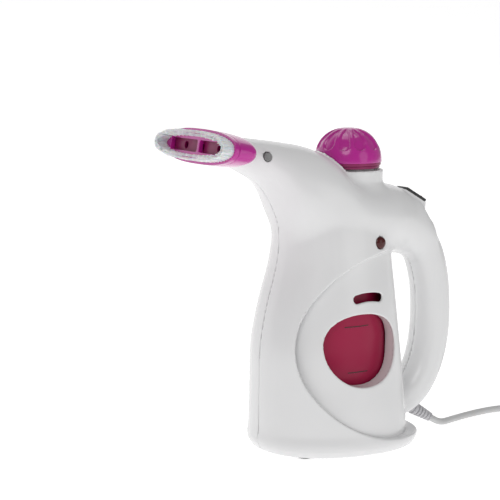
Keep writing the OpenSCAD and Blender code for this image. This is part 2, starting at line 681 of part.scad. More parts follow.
module strain_relief() {
    color("#C4C4C4") at_relief() difference() {
        union() {
            translate([0, 0, -9]) cylinder(r = 4.5, h = 13.6, $fn = 32);
            translate([0, 0, 4.6]) cylinder(r1 = 5.3, r2 = 3.7, h = relief_l - 4.6, $fn = 32);
            translate([0, 0, -9]) cylinder(r = 6, h = 1.8, $fn = 32);
        }
        translate([0, 0, -10]) cylinder(r = cord_d / 2, h = 9.9, $fn = 32);
    }
}
module cord_run() {
    color("#D0D0D0") tube(spline(CORD, 2), cord_d / 2, 8);
}
module cord_tail() {
    color("#D0D0D0") tube(spline(TAIL, 2), cord_d / 2, 8);
}
module cord_coil() {
    color("#D0D0D0") translate([coil_c[0], coil_c[1], 0]) rotate_extrude($fn = 64)
        translate([coil_in, 0]) square([coil_out - coil_in, coil_h]);
}
module cord_tie() {
    w = coil_out - coil_in;
    color("#F4F4F4") translate([coil_c[0], coil_c[1] + coil_in, 0]) difference() {
        translate([-3, -0.9, 0]) cube([6, w + 1.8, coil_h + 0.9]);
        translate([-4, 0, -1]) cube([8, w, coil_h + 1]);
    }
}
module plug_body() {
    color("#C8C8C8") translate(plug_o) {
        rotate([-90, 0, 0]) cylinder(r1 = 3.6, r2 = 5, h = 12, $fn = 32);
        translate([-11, 12, -6.5]) cube([22, 24, 13]);
    }
}
module plug_pins() {
    color("#C8B070") translate(plug_o) for (x = [-6.35, 6.35])
        translate([x - 0.75, 36, -3.15]) cube([1.5, 16, 6.3]);
}

housing_left();
housing_right();
base_plate();
rubber_feet();
base_screws();
housing_screws();
water_tank();
filler_neck();
heater_gasket();
heater_plate();
heating_element();
tank_screws();
thermostat();
thermal_fuse();
steam_tube();
head_socket();
socket_seal();
indicator_lens();
indicator_lamp();
lamp_holder();
switch_bezel();
switch_body();
switch_terminals();
switch_rocker();
terminal_block();
cord_clamp();
inner_cord();
live_wires();
neutral_wires();
strain_relief();
cord_run();
cord_coil();
cord_tail();
cord_tie();
plug_body();
plug_pins();
cap_dome();
cap_liner();
cap_seal();
release_button_left();
release_button_right();
button_spring_left();
button_spring_right();
head_shell();
head_spigot();
head_face();
brush_frame();
brush_bristles();
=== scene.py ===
import math

import bmesh
import bpy
import numpy as np
from mathutils import Matrix, Vector
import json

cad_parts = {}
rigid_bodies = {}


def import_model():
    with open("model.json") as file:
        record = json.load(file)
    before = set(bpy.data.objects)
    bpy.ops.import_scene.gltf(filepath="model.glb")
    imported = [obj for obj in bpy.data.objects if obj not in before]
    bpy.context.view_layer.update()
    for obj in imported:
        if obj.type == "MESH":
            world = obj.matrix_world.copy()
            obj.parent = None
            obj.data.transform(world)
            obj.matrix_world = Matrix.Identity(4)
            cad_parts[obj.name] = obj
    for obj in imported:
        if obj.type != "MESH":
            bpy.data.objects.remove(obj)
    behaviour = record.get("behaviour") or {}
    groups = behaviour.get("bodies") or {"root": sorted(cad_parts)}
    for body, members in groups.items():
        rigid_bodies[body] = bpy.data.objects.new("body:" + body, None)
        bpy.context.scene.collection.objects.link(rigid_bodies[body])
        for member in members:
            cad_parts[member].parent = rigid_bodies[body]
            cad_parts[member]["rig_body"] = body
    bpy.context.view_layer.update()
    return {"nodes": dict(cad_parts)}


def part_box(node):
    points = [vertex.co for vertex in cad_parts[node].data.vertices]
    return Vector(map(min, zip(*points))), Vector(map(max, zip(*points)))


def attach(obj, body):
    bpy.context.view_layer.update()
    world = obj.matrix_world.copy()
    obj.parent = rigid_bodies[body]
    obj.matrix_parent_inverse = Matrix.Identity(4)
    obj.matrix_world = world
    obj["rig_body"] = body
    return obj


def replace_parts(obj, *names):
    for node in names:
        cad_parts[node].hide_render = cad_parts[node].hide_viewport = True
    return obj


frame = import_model()
MM = 0.001

# %% [markdown]
# ## Camera
# A long lens from a little over a metre away keeps the upright lines nearly parallel. The camera stands
# in front of the near side, turned a little towards the steam head, and a little above the cap.
# %% Camera
VIEW_AZIMUTH = math.radians(-32)
VIEW_DISTANCE = 1.27
VIEW_HEIGHT = 0.325
AIM = Vector((-0.0610, 0.0230, 0.1536))

camera = bpy.data.objects.new("camera", bpy.data.cameras.new("camera"))
bpy.context.scene.collection.objects.link(camera)
camera.location = (VIEW_DISTANCE * math.sin(VIEW_AZIMUTH), -VIEW_DISTANCE * math.cos(VIEW_AZIMUTH),
                   VIEW_HEIGHT)
camera.rotation_euler = (AIM - camera.location).to_track_quat("-Z", "Y").to_euler()
camera.data.sensor_width = 36
camera.data.lens = 118.8
bpy.context.scene.camera = camera

# %% [markdown]
# ## Finishes
# Every finish is a Principled shader whose colour, roughness and bump come from noise in Object
# coordinates, so nothing slides when the object turns. Colours are written as sRGB hex codes and turned to
# linear light by one function. One helper adds a node with its settings and links.
# %% Node helper
def linear(code):
    """Linear RGBA of an sRGB hex colour."""
    parts = [int(code[i:i + 2], 16) / 255 for i in (1, 3, 5)]
    return (*[p / 12.92 if p <= 0.04045 else ((p + 0.055) / 1.055) ** 2.4 for p in parts], 1.0)


def add(tree, kind, inputs=None, **settings):
    """A new node in tree with these settings, and with its inputs set or linked."""
    made = tree.nodes.new(kind)
    for name, value in settings.items():
        setattr(made, name, value)
    for name, value in (inputs or {}).items():
        if isinstance(value, bpy.types.NodeSocket):
            tree.links.new(value, made.inputs[name])
        else:
            made.inputs[name].default_value = value
    return made


# %% One recipe for moulded and worked surfaces
def finish(name, colour, shade, rough, swing=0.05, grain=0.9, relief=0.02, patch=18.0, stretch=(1, 1, 1),
           **sockets):
    """A finish whose colour drifts from colour to shade in patches of patch mm, whose roughness swings
    with the same patches, and whose skin has a relief in mm over a grain in mm."""
    made = bpy.data.materials.new(name)
    made.use_nodes = True
    tree = made.node_tree
    skin = tree.nodes["Principled BSDF"]
    place = add(tree, "ShaderNodeTexCoord").outputs["Object"]
    place = add(tree, "ShaderNodeMapping", {"Vector": place, "Scale": stretch}).outputs[0]
    drift = add(tree, "ShaderNodeTexNoise", {"Vector": place, "Scale": 1 / (patch * MM), "Detail": 3.0})
    tint = add(tree, "ShaderNodeMix", {"Factor": drift.outputs["Fac"]}, data_type="RGBA")
    tint.inputs[6].default_value = linear(colour)
    tint.inputs[7].default_value = linear(shade)
    tree.links.new(tint.outputs[2], skin.inputs["Base Color"])
    gloss = add(tree, "ShaderNodeMapRange", {"Value": drift.outputs["Fac"], "From Min": 0.3,
                "From Max": 0.7, "To Min": rough - swing, "To Max": rough + swing})
    tree.links.new(gloss.outputs[0], skin.inputs["Roughness"])
    fine = add(tree, "ShaderNodeTexNoise", {"Vector": place, "Scale": 1 / (grain * MM), "Detail": 2.0})
    bump = add(tree, "ShaderNodeBump", {"Height": fine.outputs["Fac"], "Distance": relief * MM,
               "Strength": 1.0})
    tree.links.new(bump.outputs[0], skin.inputs["Normal"])
    for socket, value in sockets.items():
        skin.inputs[socket.replace("_", " ")].default_value = value
    return made


# %% Finishes of the plastics
# ABS from a polished mould: bright, with a faint soft sheen and almost no texture
white_abs = finish("white_abs", "#ECECEC", "#E8E8E9", 0.24, 0.03, 0.7, 0.004, 60, Coat_Weight=0.15,
                   Coat_Roughness=0.12)
# The same plastic, unpolished, on faces that are not meant to be seen
pale_abs = finish("pale_abs", "#E4E4E2", "#DADAD8", 0.45, 0.05, 0.5, 0.015, 30)
# Dyed ABS, polished: the cap and the steam head
magenta_abs = finish("magenta_abs", "#C21E98", "#B31A8C", 0.2, 0.04, 0.8, 0.005, 25, Coat_Weight=0.4,
                     Coat_Roughness=0.08)
# The same dye with painted shade, for the mouldings that stand in shade: darker and redder, and duller
shaded_magenta_abs = finish("shaded_magenta_abs", "#96105E", "#7E0A4C", 0.35, 0.05, 0.6, 0.01, 14)
# The switch: black with a fine spark texture, and a glossier red rocker
black_abs = finish("black_abs", "#191919", "#232323", 0.35, 0.06, 0.4, 0.02, 8)
red_abs = finish("red_abs", "#A81414", "#8E1010", 0.25, 0.05, 0.5, 0.01, 6, Coat_Weight=0.3)
# The release buttons: plain grey, slightly dull
button_abs = finish("button_abs", "#8C8C8C", "#707070", 0.35, 0.06, 0.4, 0.02, 3)
# Undyed nylon: warm white with a waxy look, and brighter where it is drawn into filaments
nylon = finish("natural_nylon", "#F4F2EC", "#E6E3DA", 0.4, 0.06, 0.5, 0.02, 10)
bristle_nylon = finish("bristle_nylon", "#FFFFFF", "#FAFAFA", 0.35, 0.05, 0.4, 0.01, 4,
                       Subsurface_Weight=0.3, Subsurface_Scale=0.002)
# Phenolic resin of the thermostat: brown and fairly glossy
bakelite = finish("bakelite", "#5A3A22", "#3E2615", 0.3, 0.06, 0.6, 0.03, 5)
# Soft PVC sheath, a little dull
grey_pvc = finish("grey_pvc", "#CFCFCF", "#C2C2C2", 0.5, 0.06, 0.4, 0.03, 12)
brown_pvc = finish("brown_pvc", "#6B3F1E", "#583316", 0.45, 0.05, 0.4, 0.02, 8)
blue_pvc = finish("blue_pvc", "#26469C", "#1D3A86", 0.45, 0.05, 0.4, 0.02, 8)
# Moulded rubber and silicone: dull, with hardly a highlight
dark_rubber = finish("dark_rubber", "#2E2E2E", "#3A3A3A", 0.75, 0.08, 0.3, 0.06, 5)
silicone = finish("silicone", "#DAD8D0", "#CDCAC0", 0.55, 0.06, 0.5, 0.03, 9, Subsurface_Weight=0.1)
# %% Finishes of the metals
# Zinc plate is bluish and smooth, cast aluminium is grainy, the heater's sheath is browned by heat, and
# brass terminals and blades are warm and bright
zinc_steel = finish("zinc_steel", "#B9BCC0", "#A3A6AA", 0.3, 0.08, 0.3, 0.02, 4, Metallic=1.0)
cast_aluminium = finish("cast_aluminium", "#B8BABC", "#A2A4A7", 0.5, 0.1, 0.6, 0.12, 6, Metallic=1.0)
heater_steel = finish("heater_steel", "#8A8175", "#6C655C", 0.45, 0.1, 0.4, 0.04, 7, Metallic=1.0)
brass = finish("brass", "#C9A85C", "#B8954A", 0.28, 0.07, 0.3, 0.02, 5, Metallic=1.0)
print("finishes:", len(bpy.data.materials))

# %% Clear and dark plastics
# The tank and the lens are dyed and clear, so they are deep in colour and glossy; the strain relief is soft
tank_clear = finish("tank_clear", "#B4184C", "#A81445", 0.32, 0.03, 0.7, 0.006, 60, Transmission_Weight=0.2,
                    IOR=1.35)
tank_mark = finish("tank_mark", "#4A0A1E", "#420919", 0.3, 0.04, 0.5, 0.01, 20)
lens_plastic = finish("lens_plastic", "#5A0503", "#4A0402", 0.08, 0.02, 0.4, 0.004, 10,
                      Transmission_Weight=0.25, IOR=1.5)
lamp_glass = finish("lamp_glass", "#F2D8C8", "#EACDBB", 0.06, 0.02, 0.4, 0.004, 8, Transmission_Weight=0.6)
pale_grey_pvc = finish("pale_grey_pvc", "#C6C5C8", "#BDBCBF", 0.5, 0.06, 0.4, 0.03, 8)

# %% [markdown]
# ## Mesh helpers
# Most pieces are lofts: a row of closed rings with the same number of points, skinned in order and capped
# at both ends. Turned pieces are lofts of circles. Lengths are written in millimetres and turned to metres
# when the mesh is made.
# %% Pieces and lofts
def piece(name, points, faces, material, body="root", crease=35):
    """A mesh object from points in mm, smooth except over edges sharper than crease degrees."""
    mesh = bpy.data.meshes.new(name)
    mesh.from_pydata([tuple(p) for p in np.asarray(points, float) * MM], [], [tuple(f) for f in faces])
    made = bpy.data.objects.new(name, mesh)
    bpy.context.scene.collection.objects.link(made)
    mesh.materials.append(material)
    outward(made)
    smoothed(made, crease)
    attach(made, body)
    return made


def outward(thing):
    """Doubles merged, and faces turned outwards."""
    work = bmesh.new()
    work.from_mesh(thing.data)
    bmesh.ops.remove_doubles(work, verts=work.verts, dist=1e-6)
    bmesh.ops.recalc_face_normals(work, faces=work.faces)
    work.to_mesh(thing.data)
    work.free()


def smoothed(thing, crease=35):
    """Smooth shading, with edges sharper than crease degrees kept sharp."""
    thing.data.shade_smooth()
    thing.data.set_sharp_from_angle(angle=math.radians(crease))


def skin_over(rings, close_ends=True, closed_row=False):
    """Points and faces of a skin over rings, each a list of points of the same length."""
    count, rows = len(rings[0]), len(rings)
    points = [p for ring in rings for p in ring]
    faces = []
    for j in range(rows if closed_row else rows - 1):
        a, b = j * count, (j + 1) % rows * count
        faces += [(a + i, b + i, b + (i + 1) % count, a + (i + 1) % count) for i in range(count)]
    if close_ends and not closed_row:
        faces += [tuple(range(count)), tuple(range((rows - 1) * count, rows * count))]
    return points, faces


def turned(profile, axis_at=(0, 0), sides=64, closed_row=False):
    """Skin of revolution about an upright axis from a profile of (radius, height) pairs."""
    turn = np.linspace(0, 2 * np.pi, sides, endpoint=False)
    rings = [[(axis_at[0] + r * math.cos(t), axis_at[1] + r * math.sin(t), z) for t in turn]
             for r, z in profile]
    return skin_over(rings, True, closed_row)


def rounded(profile, radius, steps=3, closed=True):
    """The profile with each corner replaced by an arc of at most this radius."""
    made, count = [], len(profile)
    corners = range(count) if closed else range(1, count - 1)
    if not closed:
        made.append(tuple(profile[0]))
    for i in corners:
        before, here, after = (np.array(profile[k % count], float) for k in (i - 1, i, i + 1))
        back, on = before - here, after - here
        reach = min(radius, 0.45 * np.linalg.norm(back), 0.45 * np.linalg.norm(on))
        a = here + back / np.linalg.norm(back) * reach
        b = here + on / np.linalg.norm(on) * reach
        for s in np.linspace(0, 1, steps + 1):
            made.append(tuple((1 - s) ** 2 * a + 2 * s * (1 - s) * here + s ** 2 * b))
    if not closed:
        made.append(tuple(profile[-1]))
    return made


def placed(points, move, turn_y=0.0):
    """Points in mm turned about Y by turn_y degrees, then moved."""
    spin = np.array(Matrix.Rotation(math.radians(turn_y), 3, "Y"))
    return np.asarray(points, float) @ spin.T + np.asarray(move, float)


def softened(node, material, edge=0.3, crease=30, body=None):
    """A copy of a CAD node with its edges rounded to edge mm, which replaces the node."""
    source = frame["nodes"][node]
    made = bpy.data.objects.new(node + "_moulded", source.data.copy())
    bpy.context.scene.collection.objects.link(made)
    work = bmesh.new()
    work.from_mesh(made.data)
    bmesh.ops.remove_doubles(work, verts=work.verts, dist=1e-6)
    bmesh.ops.dissolve_limit(work, angle_limit=math.radians(1.0), verts=work.verts, edges=work.edges)
    sharp = [e for e in work.edges if len(e.link_faces) == 2
             and e.calc_face_angle(0) > math.radians(crease)]
    bmesh.ops.bevel(work, geom=sharp, offset=edge * MM, segments=2, profile=0.6, affect="EDGES",
                    clamp_overlap=True)
    bmesh.ops.triangulate(work, faces=[f for f in work.faces if len(f.verts) > 4])
    work.to_mesh(made.data)
    work.free()
    made.data.materials.clear()
    made.data.materials.append(material)
    smoothed(made, crease)
    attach(made, body or source["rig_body"])
    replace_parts(made, node)
    return made


# %% [markdown]
# ## Supply cord
# A two-core mains lead of 1.8 m leaves the handle's foot through a ribbed strain relief, lies on the
# table, and is wound into a flat coil of two layers with a tie, its plug beside it. It is one curve: the
# free stretches follow listed points, and the coil's turns are worked out. Each turn keeps its
# radius most of the way round and steps over to the next in one short sector, as a hand-wound coil does.
# %% The cord's route
CORD_D = 5.4
CORD = [(93.5, 0, 9), (97.5, 0.2, 6.6), (102, 0.8, 4.4), (107.5, 2, 3), (114, 4, 2.7), (123, 7, 2.7),
        (134, 10.5, 2.7), (145, 13.5, 2.7), (157, 16, 2.7), (169, 17.5, 2.7), (181, 17, 2.7),
        (193, 14.5, 2.7), (207, 11, 2.7), (221, 7.5, 2.7), (235, 5, 2.7), (242, 4, 2.7)]
TAIL = [(258, 4.3, 7.9), (270, 4, 7.2), (281, 6.5, 5.9), (291, 11.5, 4.5), (299, 19, 4.1),
        (304.5, 29, 4.6), (307, 40, 5.6), (307.5, 51, 6.4), (307.5, 58, 6.5)]
COIL_CENTRE = (250, 41)
TURN_RADII = [37.5, 32.1, 26.7, 21.3]
TURN_STEPS = 36
STEP_SECTOR = 0.82       # share of a turn after which the cord steps to the next radius


def eased(t):
    """A smooth step from 0 to 1, flat at both ends."""
    t = min(max(t, 0.0), 1.0)
    return t * t * (3 - 2 * t)


def coil_points():
    """The turns of the coil: inwards on the lower layer, up, and outwards on the upper one."""
    radii = TURN_RADII + TURN_RADII[::-1]
    low, high = CORD_D / 2, CORD_D * 1.5
    points = []
    for turn, radius in enumerate(radii):
        after = radii[turn + 1] if turn + 1 < len(radii) else radius
        for k in range(TURN_STEPS):
            share = k / TURN_STEPS
            r = radius + (after - radius) * eased((share - STEP_SECTOR) / (1 - STEP_SECTOR))
            if turn < len(TURN_RADII) - 1:
                z = low
            elif turn > len(TURN_RADII) - 1:
                z = high
            else:
                z = low + (high - low) * eased((share - 0.66) / 0.2)
            angle = 2 * math.pi * share - math.pi / 2
            points.append((COIL_CENTRE[0] + r * math.cos(angle), COIL_CENTRE[1] + r * math.sin(angle), z))
    return points


def smooth_route(points, between=4):
    """Points on a smooth curve through the given ones."""
    p = [np.array(q, float) for q in points]
    made = []
    for i in range(len(p) - 1):
        a, b, c, d = p[max(i - 1, 0)], p[i], p[i + 1], p[min(i + 2, len(p) - 1)]
        for t in np.arange(between) / between:
            made.append((2 * b + (c - a) * t + (2 * a - 5 * b + 4 * c - d) * t ** 2
                         + (3 * b - a - 3 * c + d) * t ** 3) / 2)
    return made + [p[-1]]


# %% The cord
def route_curve(name, points, radius, material):
    """A round cord of radius mm along points in mm."""
    data = bpy.data.curves.new(name, "CURVE")
    data.dimensions = "3D"
    data.bevel_depth = radius * MM
    data.bevel_resolution = 5
    data.use_fill_caps = True
    line = data.splines.new("POLY")
    line.points.add(len(points) - 1)
    for at, p in zip(line.points, points):
        at.co = (*[c * MM for c in p], 1)
    data.materials.append(material)
    made = bpy.data.objects.new(name, data)
    bpy.context.scene.collection.objects.link(made)
    return made


coil = coil_points()
route = smooth_route(CORD + coil[1:-1:2] + TAIL, 4)
cord = route_curve("supply_cord", route, CORD_D / 2, grey_pvc)
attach(cord, "root")
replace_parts(cord, "cord_run", "cord_coil", "cord_tail")
lengths = [np.linalg.norm(np.subtract(b, a)) for a, b in zip(route, route[1:])]
print("cord:", round(sum(lengths)), "mm in", len(route), "points")

# %% [markdown]
# The tie is a strip that goes once round the turns at one place. It follows the section of the coil, a
# box with round corners, and is one closed band.
# %% Cord tie
def cord_tie():
    """The band round the coil, in the box of its CAD node."""
    low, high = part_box("cord_tie")
    middle = (low + high) / 2 / MM
    half_y = (high.y - low.y) / 2 / MM
    top = high.z / MM
    outline = rounded([(middle.y - half_y, 0.05), (middle.y + half_y, 0.05), (middle.y + half_y, top),
                       (middle.y - half_y, top)], 2.6, 5)
    inner = rounded([(middle.y - half_y + 0.7, 0.06), (middle.y + half_y - 0.7, 0.06),
                     (middle.y + half_y - 0.7, top - 0.7), (middle.y - half_y + 0.7, top - 0.7)], 2.3, 5)
    x0, x1 = low.x / MM, high.x / MM
    rings = [[(x0, *p) for p in outline], [(x1, *p) for p in outline], [(x1, *p) for p in inner],
             [(x0, *p) for p in inner]]
    made = piece("cord_tie_band", *skin_over(rings, closed_row=True), nylon)
    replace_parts(made, "cord_tie")
    return made


tie = cord_tie()

# %% [markdown]
# The plug is a flat block with a soft grip that narrows to the cord, and two folded brass blades.
# %% Plug
def plug():
    """The plug's moulding, in the box of its CAD node, with the cord's end at its low Y side."""
    low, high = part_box("plug_body")
    x, z = (low.x + high.x) / 2 / MM, (low.z + high.z) / 2 / MM
    half_x, half_z = (high.x - low.x) / 2 / MM, (high.z - low.z) / 2 / MM
    y0, y1 = low.y / MM, high.y / MM
    stations = [(0, 3.5, 3.5), (0.6, 3.9, 3.9), (5, 4.2, 4.2), (9, 4.9, 4.7), (12, 7.2, 5.4), (15, 9.6, 6.0),
                (19, half_x - 0.2, half_z - 0.1), (28, half_x, half_z), (34.6, half_x, half_z),
                (35.6, half_x - 0.4, half_z - 0.4), (y1 - y0, half_x - 1.2, half_z - 1.2)]
    rings = []
    for along, a, b in stations:
        power = 2 + 1.6 * eased((along - 8) / 12)
        ring = []
        for t in np.linspace(0, 2 * math.pi, 40, endpoint=False):
            c, s = math.cos(t), math.sin(t)
            ring.append((x + a * math.copysign(abs(c) ** (2 / power), c), y0 + along,
                         z + b * math.copysign(abs(s) ** (2 / power), s)))
        rings.append(ring)
    body = piece("plug_moulding", *skin_over(rings), grey_pvc)
    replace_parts(body, "plug_body")
    return body


plug_moulding = plug()
plug_blades = softened("plug_pins", brass, 0.35)

# %% [markdown]
# ## Housing
# The two white halves are one continuous form: a body that narrows upwards, a recessed side panel, a crest
# that sweeps into the neck, a collar round the filler and a loop handle. Each is written as a distance in
# mm, negative inside. Soft minimums blend them, the wall is what lies within 2.5 mm of the outside, and
# the openings are taken away. The surface is then found on a grid.
# %% Distances and blends
WALL = 2.5
SKIN = [(1.5, -63.8, 64.2, 54.8), (5, -66.3, 66.8, 57.3), (19, -66.5, 65.8, 57), (55, -65.8, 60, 54.8),
        (82, -65.3, 56, 52.3), (110, -60.3, 52, 48.8), (146, -50.6, 46, 43.3), (173, -47, 44, 39.5),
        (190, -44, 42, 35.5), (202, -34, 37, 26)]
PANEL = [(1.5, -58, 57.5, 51.3), (17, -58, 57.1, 53.8), (55, -57, 54.2, 51.6), (82, -56, 51.6, 49.1),
         (110, -52, 49.1, 45.6), (146, -44, 45.6, 40.1), (173, -40, 43.5, 36.3), (190, -36, 38, 29.8)]
CREST = [(-100, 243.7, 224.8, 19.3), (-88, 243, 219, 20), (-78, 241.8, 213.5, 20.7), (-69, 240.6, 208, 22),
         (-61, 239.5, 199, 24.5), (-54, 238.5, 187, 27.5), (-48, 237.5, 172, 30.5), (-36, 235.5, 160, 34.5),
         (-20, 230.5, 160, 37), (-8, 223.5, 160, 38), (3, 212.5, 160, 38.5), (16, 206, 158, 38),
         (30, 204.5, 153, 36), (44, 203, 149, 32), (57, 199.5, 147, 25), (68, 193.5, 146, 19.5),
         (79, 186, 147, 15.5), (85.5, 171, 150, 13)]
GRIP = [(60, 168, 17), (73.5, 160, 15.4), (84, 146, 14.6), (90, 126, 14.2), (92, 105, 14.2),
        (91.6, 84, 14.2), (88, 64, 13.8), (80.8, 46.5, 13.4), (69.5, 33, 13.2), (53, 26, 13)]
GRIP_W = 16
COLLAR_R = 27
SWITCH_AT, SWITCH_TILT = (72, 0, 191.6), 30.5
PANEL_AT, PANEL_A = (35, 80), 88
FILLER_X = 13
HEAD_AT = (-97, 0, 233.5)
HEAD_TILT = 10
CASE_SCREWS = [(-54, 20, 14), (42, 29, 14), (-38, 182, 14), (40, 176, 10), (90.3, 104, 7)]
WINDOW_AT, WINDOW_A, WINDOW_B = (-1, 81), 32, 27.5
SLOT_AT, SLOT_R, SLOT_H, SLOT_HALF = (5, 121), 46, 6.5, 16


def fine_table(stations, step=0.25, blur=3.0):
    """Stations filled out to a fine table and smoothed: places, values, slopes."""
    s = np.array(stations, float)
    x = s[:, 0]
    slope = np.gradient(s[:, 1:], x, axis=0)
    at = np.arange(x[0], x[-1] + step / 2, step)
    i = np.clip(np.searchsorted(x, at, "right") - 1, 0, len(x) - 2)
    h = (x[i + 1] - x[i])[:, None]
    t = ((at - x[i]) / h[:, 0])[:, None]
    v = ((2 * t ** 3 - 3 * t ** 2 + 1) * s[i, 1:] + (t ** 3 - 2 * t ** 2 + t) * h * slope[i]
         + (3 * t ** 2 - 2 * t ** 3) * s[i + 1, 1:] + (t ** 3 - t ** 2) * h * slope[i + 1])
    reach = int(3 * blur / step)
    kernel = np.exp(-0.5 * (np.arange(-reach, reach + 1) * step / blur) ** 2)
    kernel /= kernel.sum()
    padded = np.vstack([2 * v[0] - v[reach:0:-1], v, 2 * v[-1] - v[-2:-reach - 2:-1]])
    v = np.column_stack([np.convolve(padded[:, c], kernel, "valid") for c in range(v.shape[1])])
    return at, v, np.gradient(v, at, axis=0)


def section_distance(along, across, up, table, power, wide):
    """Distance to a form with superellipse sections: wide is the pair of columns that bound across."""
    at, v, dv = table
    pick = lambda c, rows: np.interp(along, at, rows[:, c])
    lo, hi = pick(wide[0], v), pick(wide[1], v)
    half, dhalf = np.maximum(pick(2, v), 1), pick(2, dv)
    a, da = (hi - lo) / 2, (pick(wide[1], dv) - pick(wide[0], dv)) / 2
    middle, dmiddle = (hi + lo) / 2, (pick(wide[1], dv) + pick(wide[0], dv)) / 2
    p, q = (across - middle) / a, np.abs(up) / half
    ap = np.abs(p) + 1e-6
    total = ap ** power + q ** power + 1e-9
    g = total ** (1 / power)
    shared = g / total
    gp, gq = shared * ap ** (power - 1), shared * q ** (power - 1)
    slant = gp * (-np.sign(p) * dmiddle / a - ap * da / a) - gq * q * dhalf / half
    grade = np.sqrt((gp / a) ** 2 + (gq / half) ** 2 + slant ** 2)
    return (g - 1) / np.maximum(grade, 0.5 / np.maximum(a, half))


def smin(a, b, k):
    """The smaller of two distances, blended over k mm."""
    h = np.maximum(k - np.abs(a - b), 0) / k
    return np.minimum(a, b) - h * h * k / 4


def smax(a, b, k):
    """The larger of two distances, blended over k mm."""
    return -smin(-a, -b, k)


def local(x, y, z, at, turn_y):
    """Coordinates in a frame at a point, turned about Y by turn_y degrees."""
    c, s = math.cos(math.radians(turn_y)), math.sin(math.radians(turn_y))
    return c * (x - at[0]) - s * (z - at[2]), y - at[1], s * (x - at[0]) + c * (z - at[2])


# %% The outer form
TANK = [(44, -44, 38, 33), (50, -49, 42, 36.3), (80, -50, 43, 37), (110, -47, 41, 36), (135, -40, 38, 33),
        (155, -31, 35, 28), (166, -19, 33.8, 23), (173, -7.5, 33.5, 20.5)]
TANK_T = fine_table(TANK, blur=1.5)
SKIN_T, PANEL_T = fine_table(SKIN, blur=2.2), fine_table(PANEL)
CREST_T = fine_table(CREST, blur=2.5)
grip_line = np.array([p for p in smooth_route([(g[0], g[1]) for g in GRIP], 14)])
grip_half = np.interp(np.linspace(0, len(GRIP) - 1, len(grip_line)), range(len(GRIP)), [g[2] for g in GRIP])


def grip_distance(x, y, z):
    """Distance to the loop handle, a rounded bar along the line of the grip."""
    ends = slice(6, None)
    line, half = grip_line[ends], grip_half[ends]
    shape = np.broadcast_shapes(x.shape, z.shape)
    px, pz = np.broadcast_to(x, shape).ravel(), np.broadcast_to(z, shape).ravel()
    near = np.full(px.shape, 1e9)
    thick = np.full(px.shape, 14.0)
    for i in range(len(line) - 1):
        a, d = line[i], line[i + 1] - line[i]
        t = np.clip(((px - a[0]) * d[0] + (pz - a[1]) * d[1]) / (d @ d), 0, 1)
        away = np.hypot(px - a[0] - t * d[0], pz - a[1] - t * d[1])
        closer = away < near
        near = np.where(closer, away, near)
        thick = np.where(closer, half[i] + t * (half[i + 1] - half[i]), thick)
    near, thick = near.reshape(shape), thick.reshape(shape)
    p, q = near / thick + 1e-6, np.abs(y) / GRIP_W
    total = p ** 2.5 + q ** 2.5 + 1e-9
    g = total ** 0.4
    grade = g / total * np.hypot(p ** 1.5 / thick, q ** 1.5 / GRIP_W)
    return (g - 1) / np.maximum(grade, 0.5 / GRIP_W)


def panel_region(x, z):
    """Distance in side view to the outline of the recessed panel, negative inside it."""
    height = np.where(z > PANEL_AT[1], 74.0, 69.0)
    p, q = (x - PANEL_AT[0]) / PANEL_A, (z - PANEL_AT[1]) / height
    g = np.sqrt(p * p + q * q) + 1e-6
    oval = (g - 1) * g / np.maximum(np.hypot(p / PANEL_A, q / height), 1e-4)
    straight = np.maximum(z - 154, 11 - (x - 35) * 7 / 365 - z)
    return np.where(x < PANEL_AT[0], np.clip(oval, -40, 60), straight)


def outer(x, y, z):
    """Distance to the outside of the closed housing, before any opening is cut."""
    skin = section_distance(z, x, y, SKIN_T, 2.2, (0, 1))
    front = smax(skin, -panel_region(x, z), 1.6)
    panel = section_distance(z, x, y, PANEL_T, 2.2, (0, 1))
    low_body = smax(smin(front, panel, 1.4), z - 200, 6)
    crest = section_distance(x, z, y, CREST_T, 2.1, (1, 0))
    crest = np.maximum(crest, np.maximum(x - 85, -x - 100.5))
    whole = smin(low_body, crest, 7)
    whole = smin(whole, grip_distance(x, y, z), 8)
    round_collar = np.hypot(x - FILLER_X, y) - COLLAR_R
    whole = smin(whole, np.maximum(round_collar, 190 - z), 5)
    sx, _, sz = local(x, y, z, SWITCH_AT, SWITCH_TILT)
    pad = np.maximum(np.maximum(np.abs(sx) - 11.6, np.abs(y) - 8.4), np.maximum(sz - 0.05, -9 - sz))
    whole = smin(whole, pad, 2)
    return smax(whole, -np.maximum(np.maximum(np.abs(sx) - 11.2, np.abs(y) - 8), 0.1 - sz), 0.4)


# %% [markdown]
# The openings: the cap's well and the filler hole, the neck's mouth, the window and the slot with soft
# edges, holes for the lens, the switch, the strain relief and the buttons, and screw tunnels on one side.
# %% Openings
def window_distance(x, z):
    """Distance in side view to the level window, a rounded form wider at its top."""
    q = (z - WINDOW_AT[1]) / WINDOW_B
    p = (x - WINDOW_AT[0]) / (WINDOW_A * (1 + 0.1 * np.clip(q, -1.4, 1.4)))
    power = 2.15
    g = (np.abs(p) ** power + np.abs(q) ** power + 1e-9) ** (1 / power)
    return (g - 1) * g / np.maximum(np.hypot(p / WINDOW_A, q / WINDOW_B), 0.5 / WINDOW_A)


def slot_distance(x, z):
    """Distance in side view to the curved slot above the window."""
    cx, cz = SLOT_AT[0], SLOT_AT[1] - SLOT_R
    angle = np.clip(np.arctan2(x - cx, z - cz), -math.radians(SLOT_HALF - 3), math.radians(SLOT_HALF - 3))
    return np.hypot(x - cx - SLOT_R * np.sin(angle), z - cz - SLOT_R * np.cos(angle)) - SLOT_H / 2


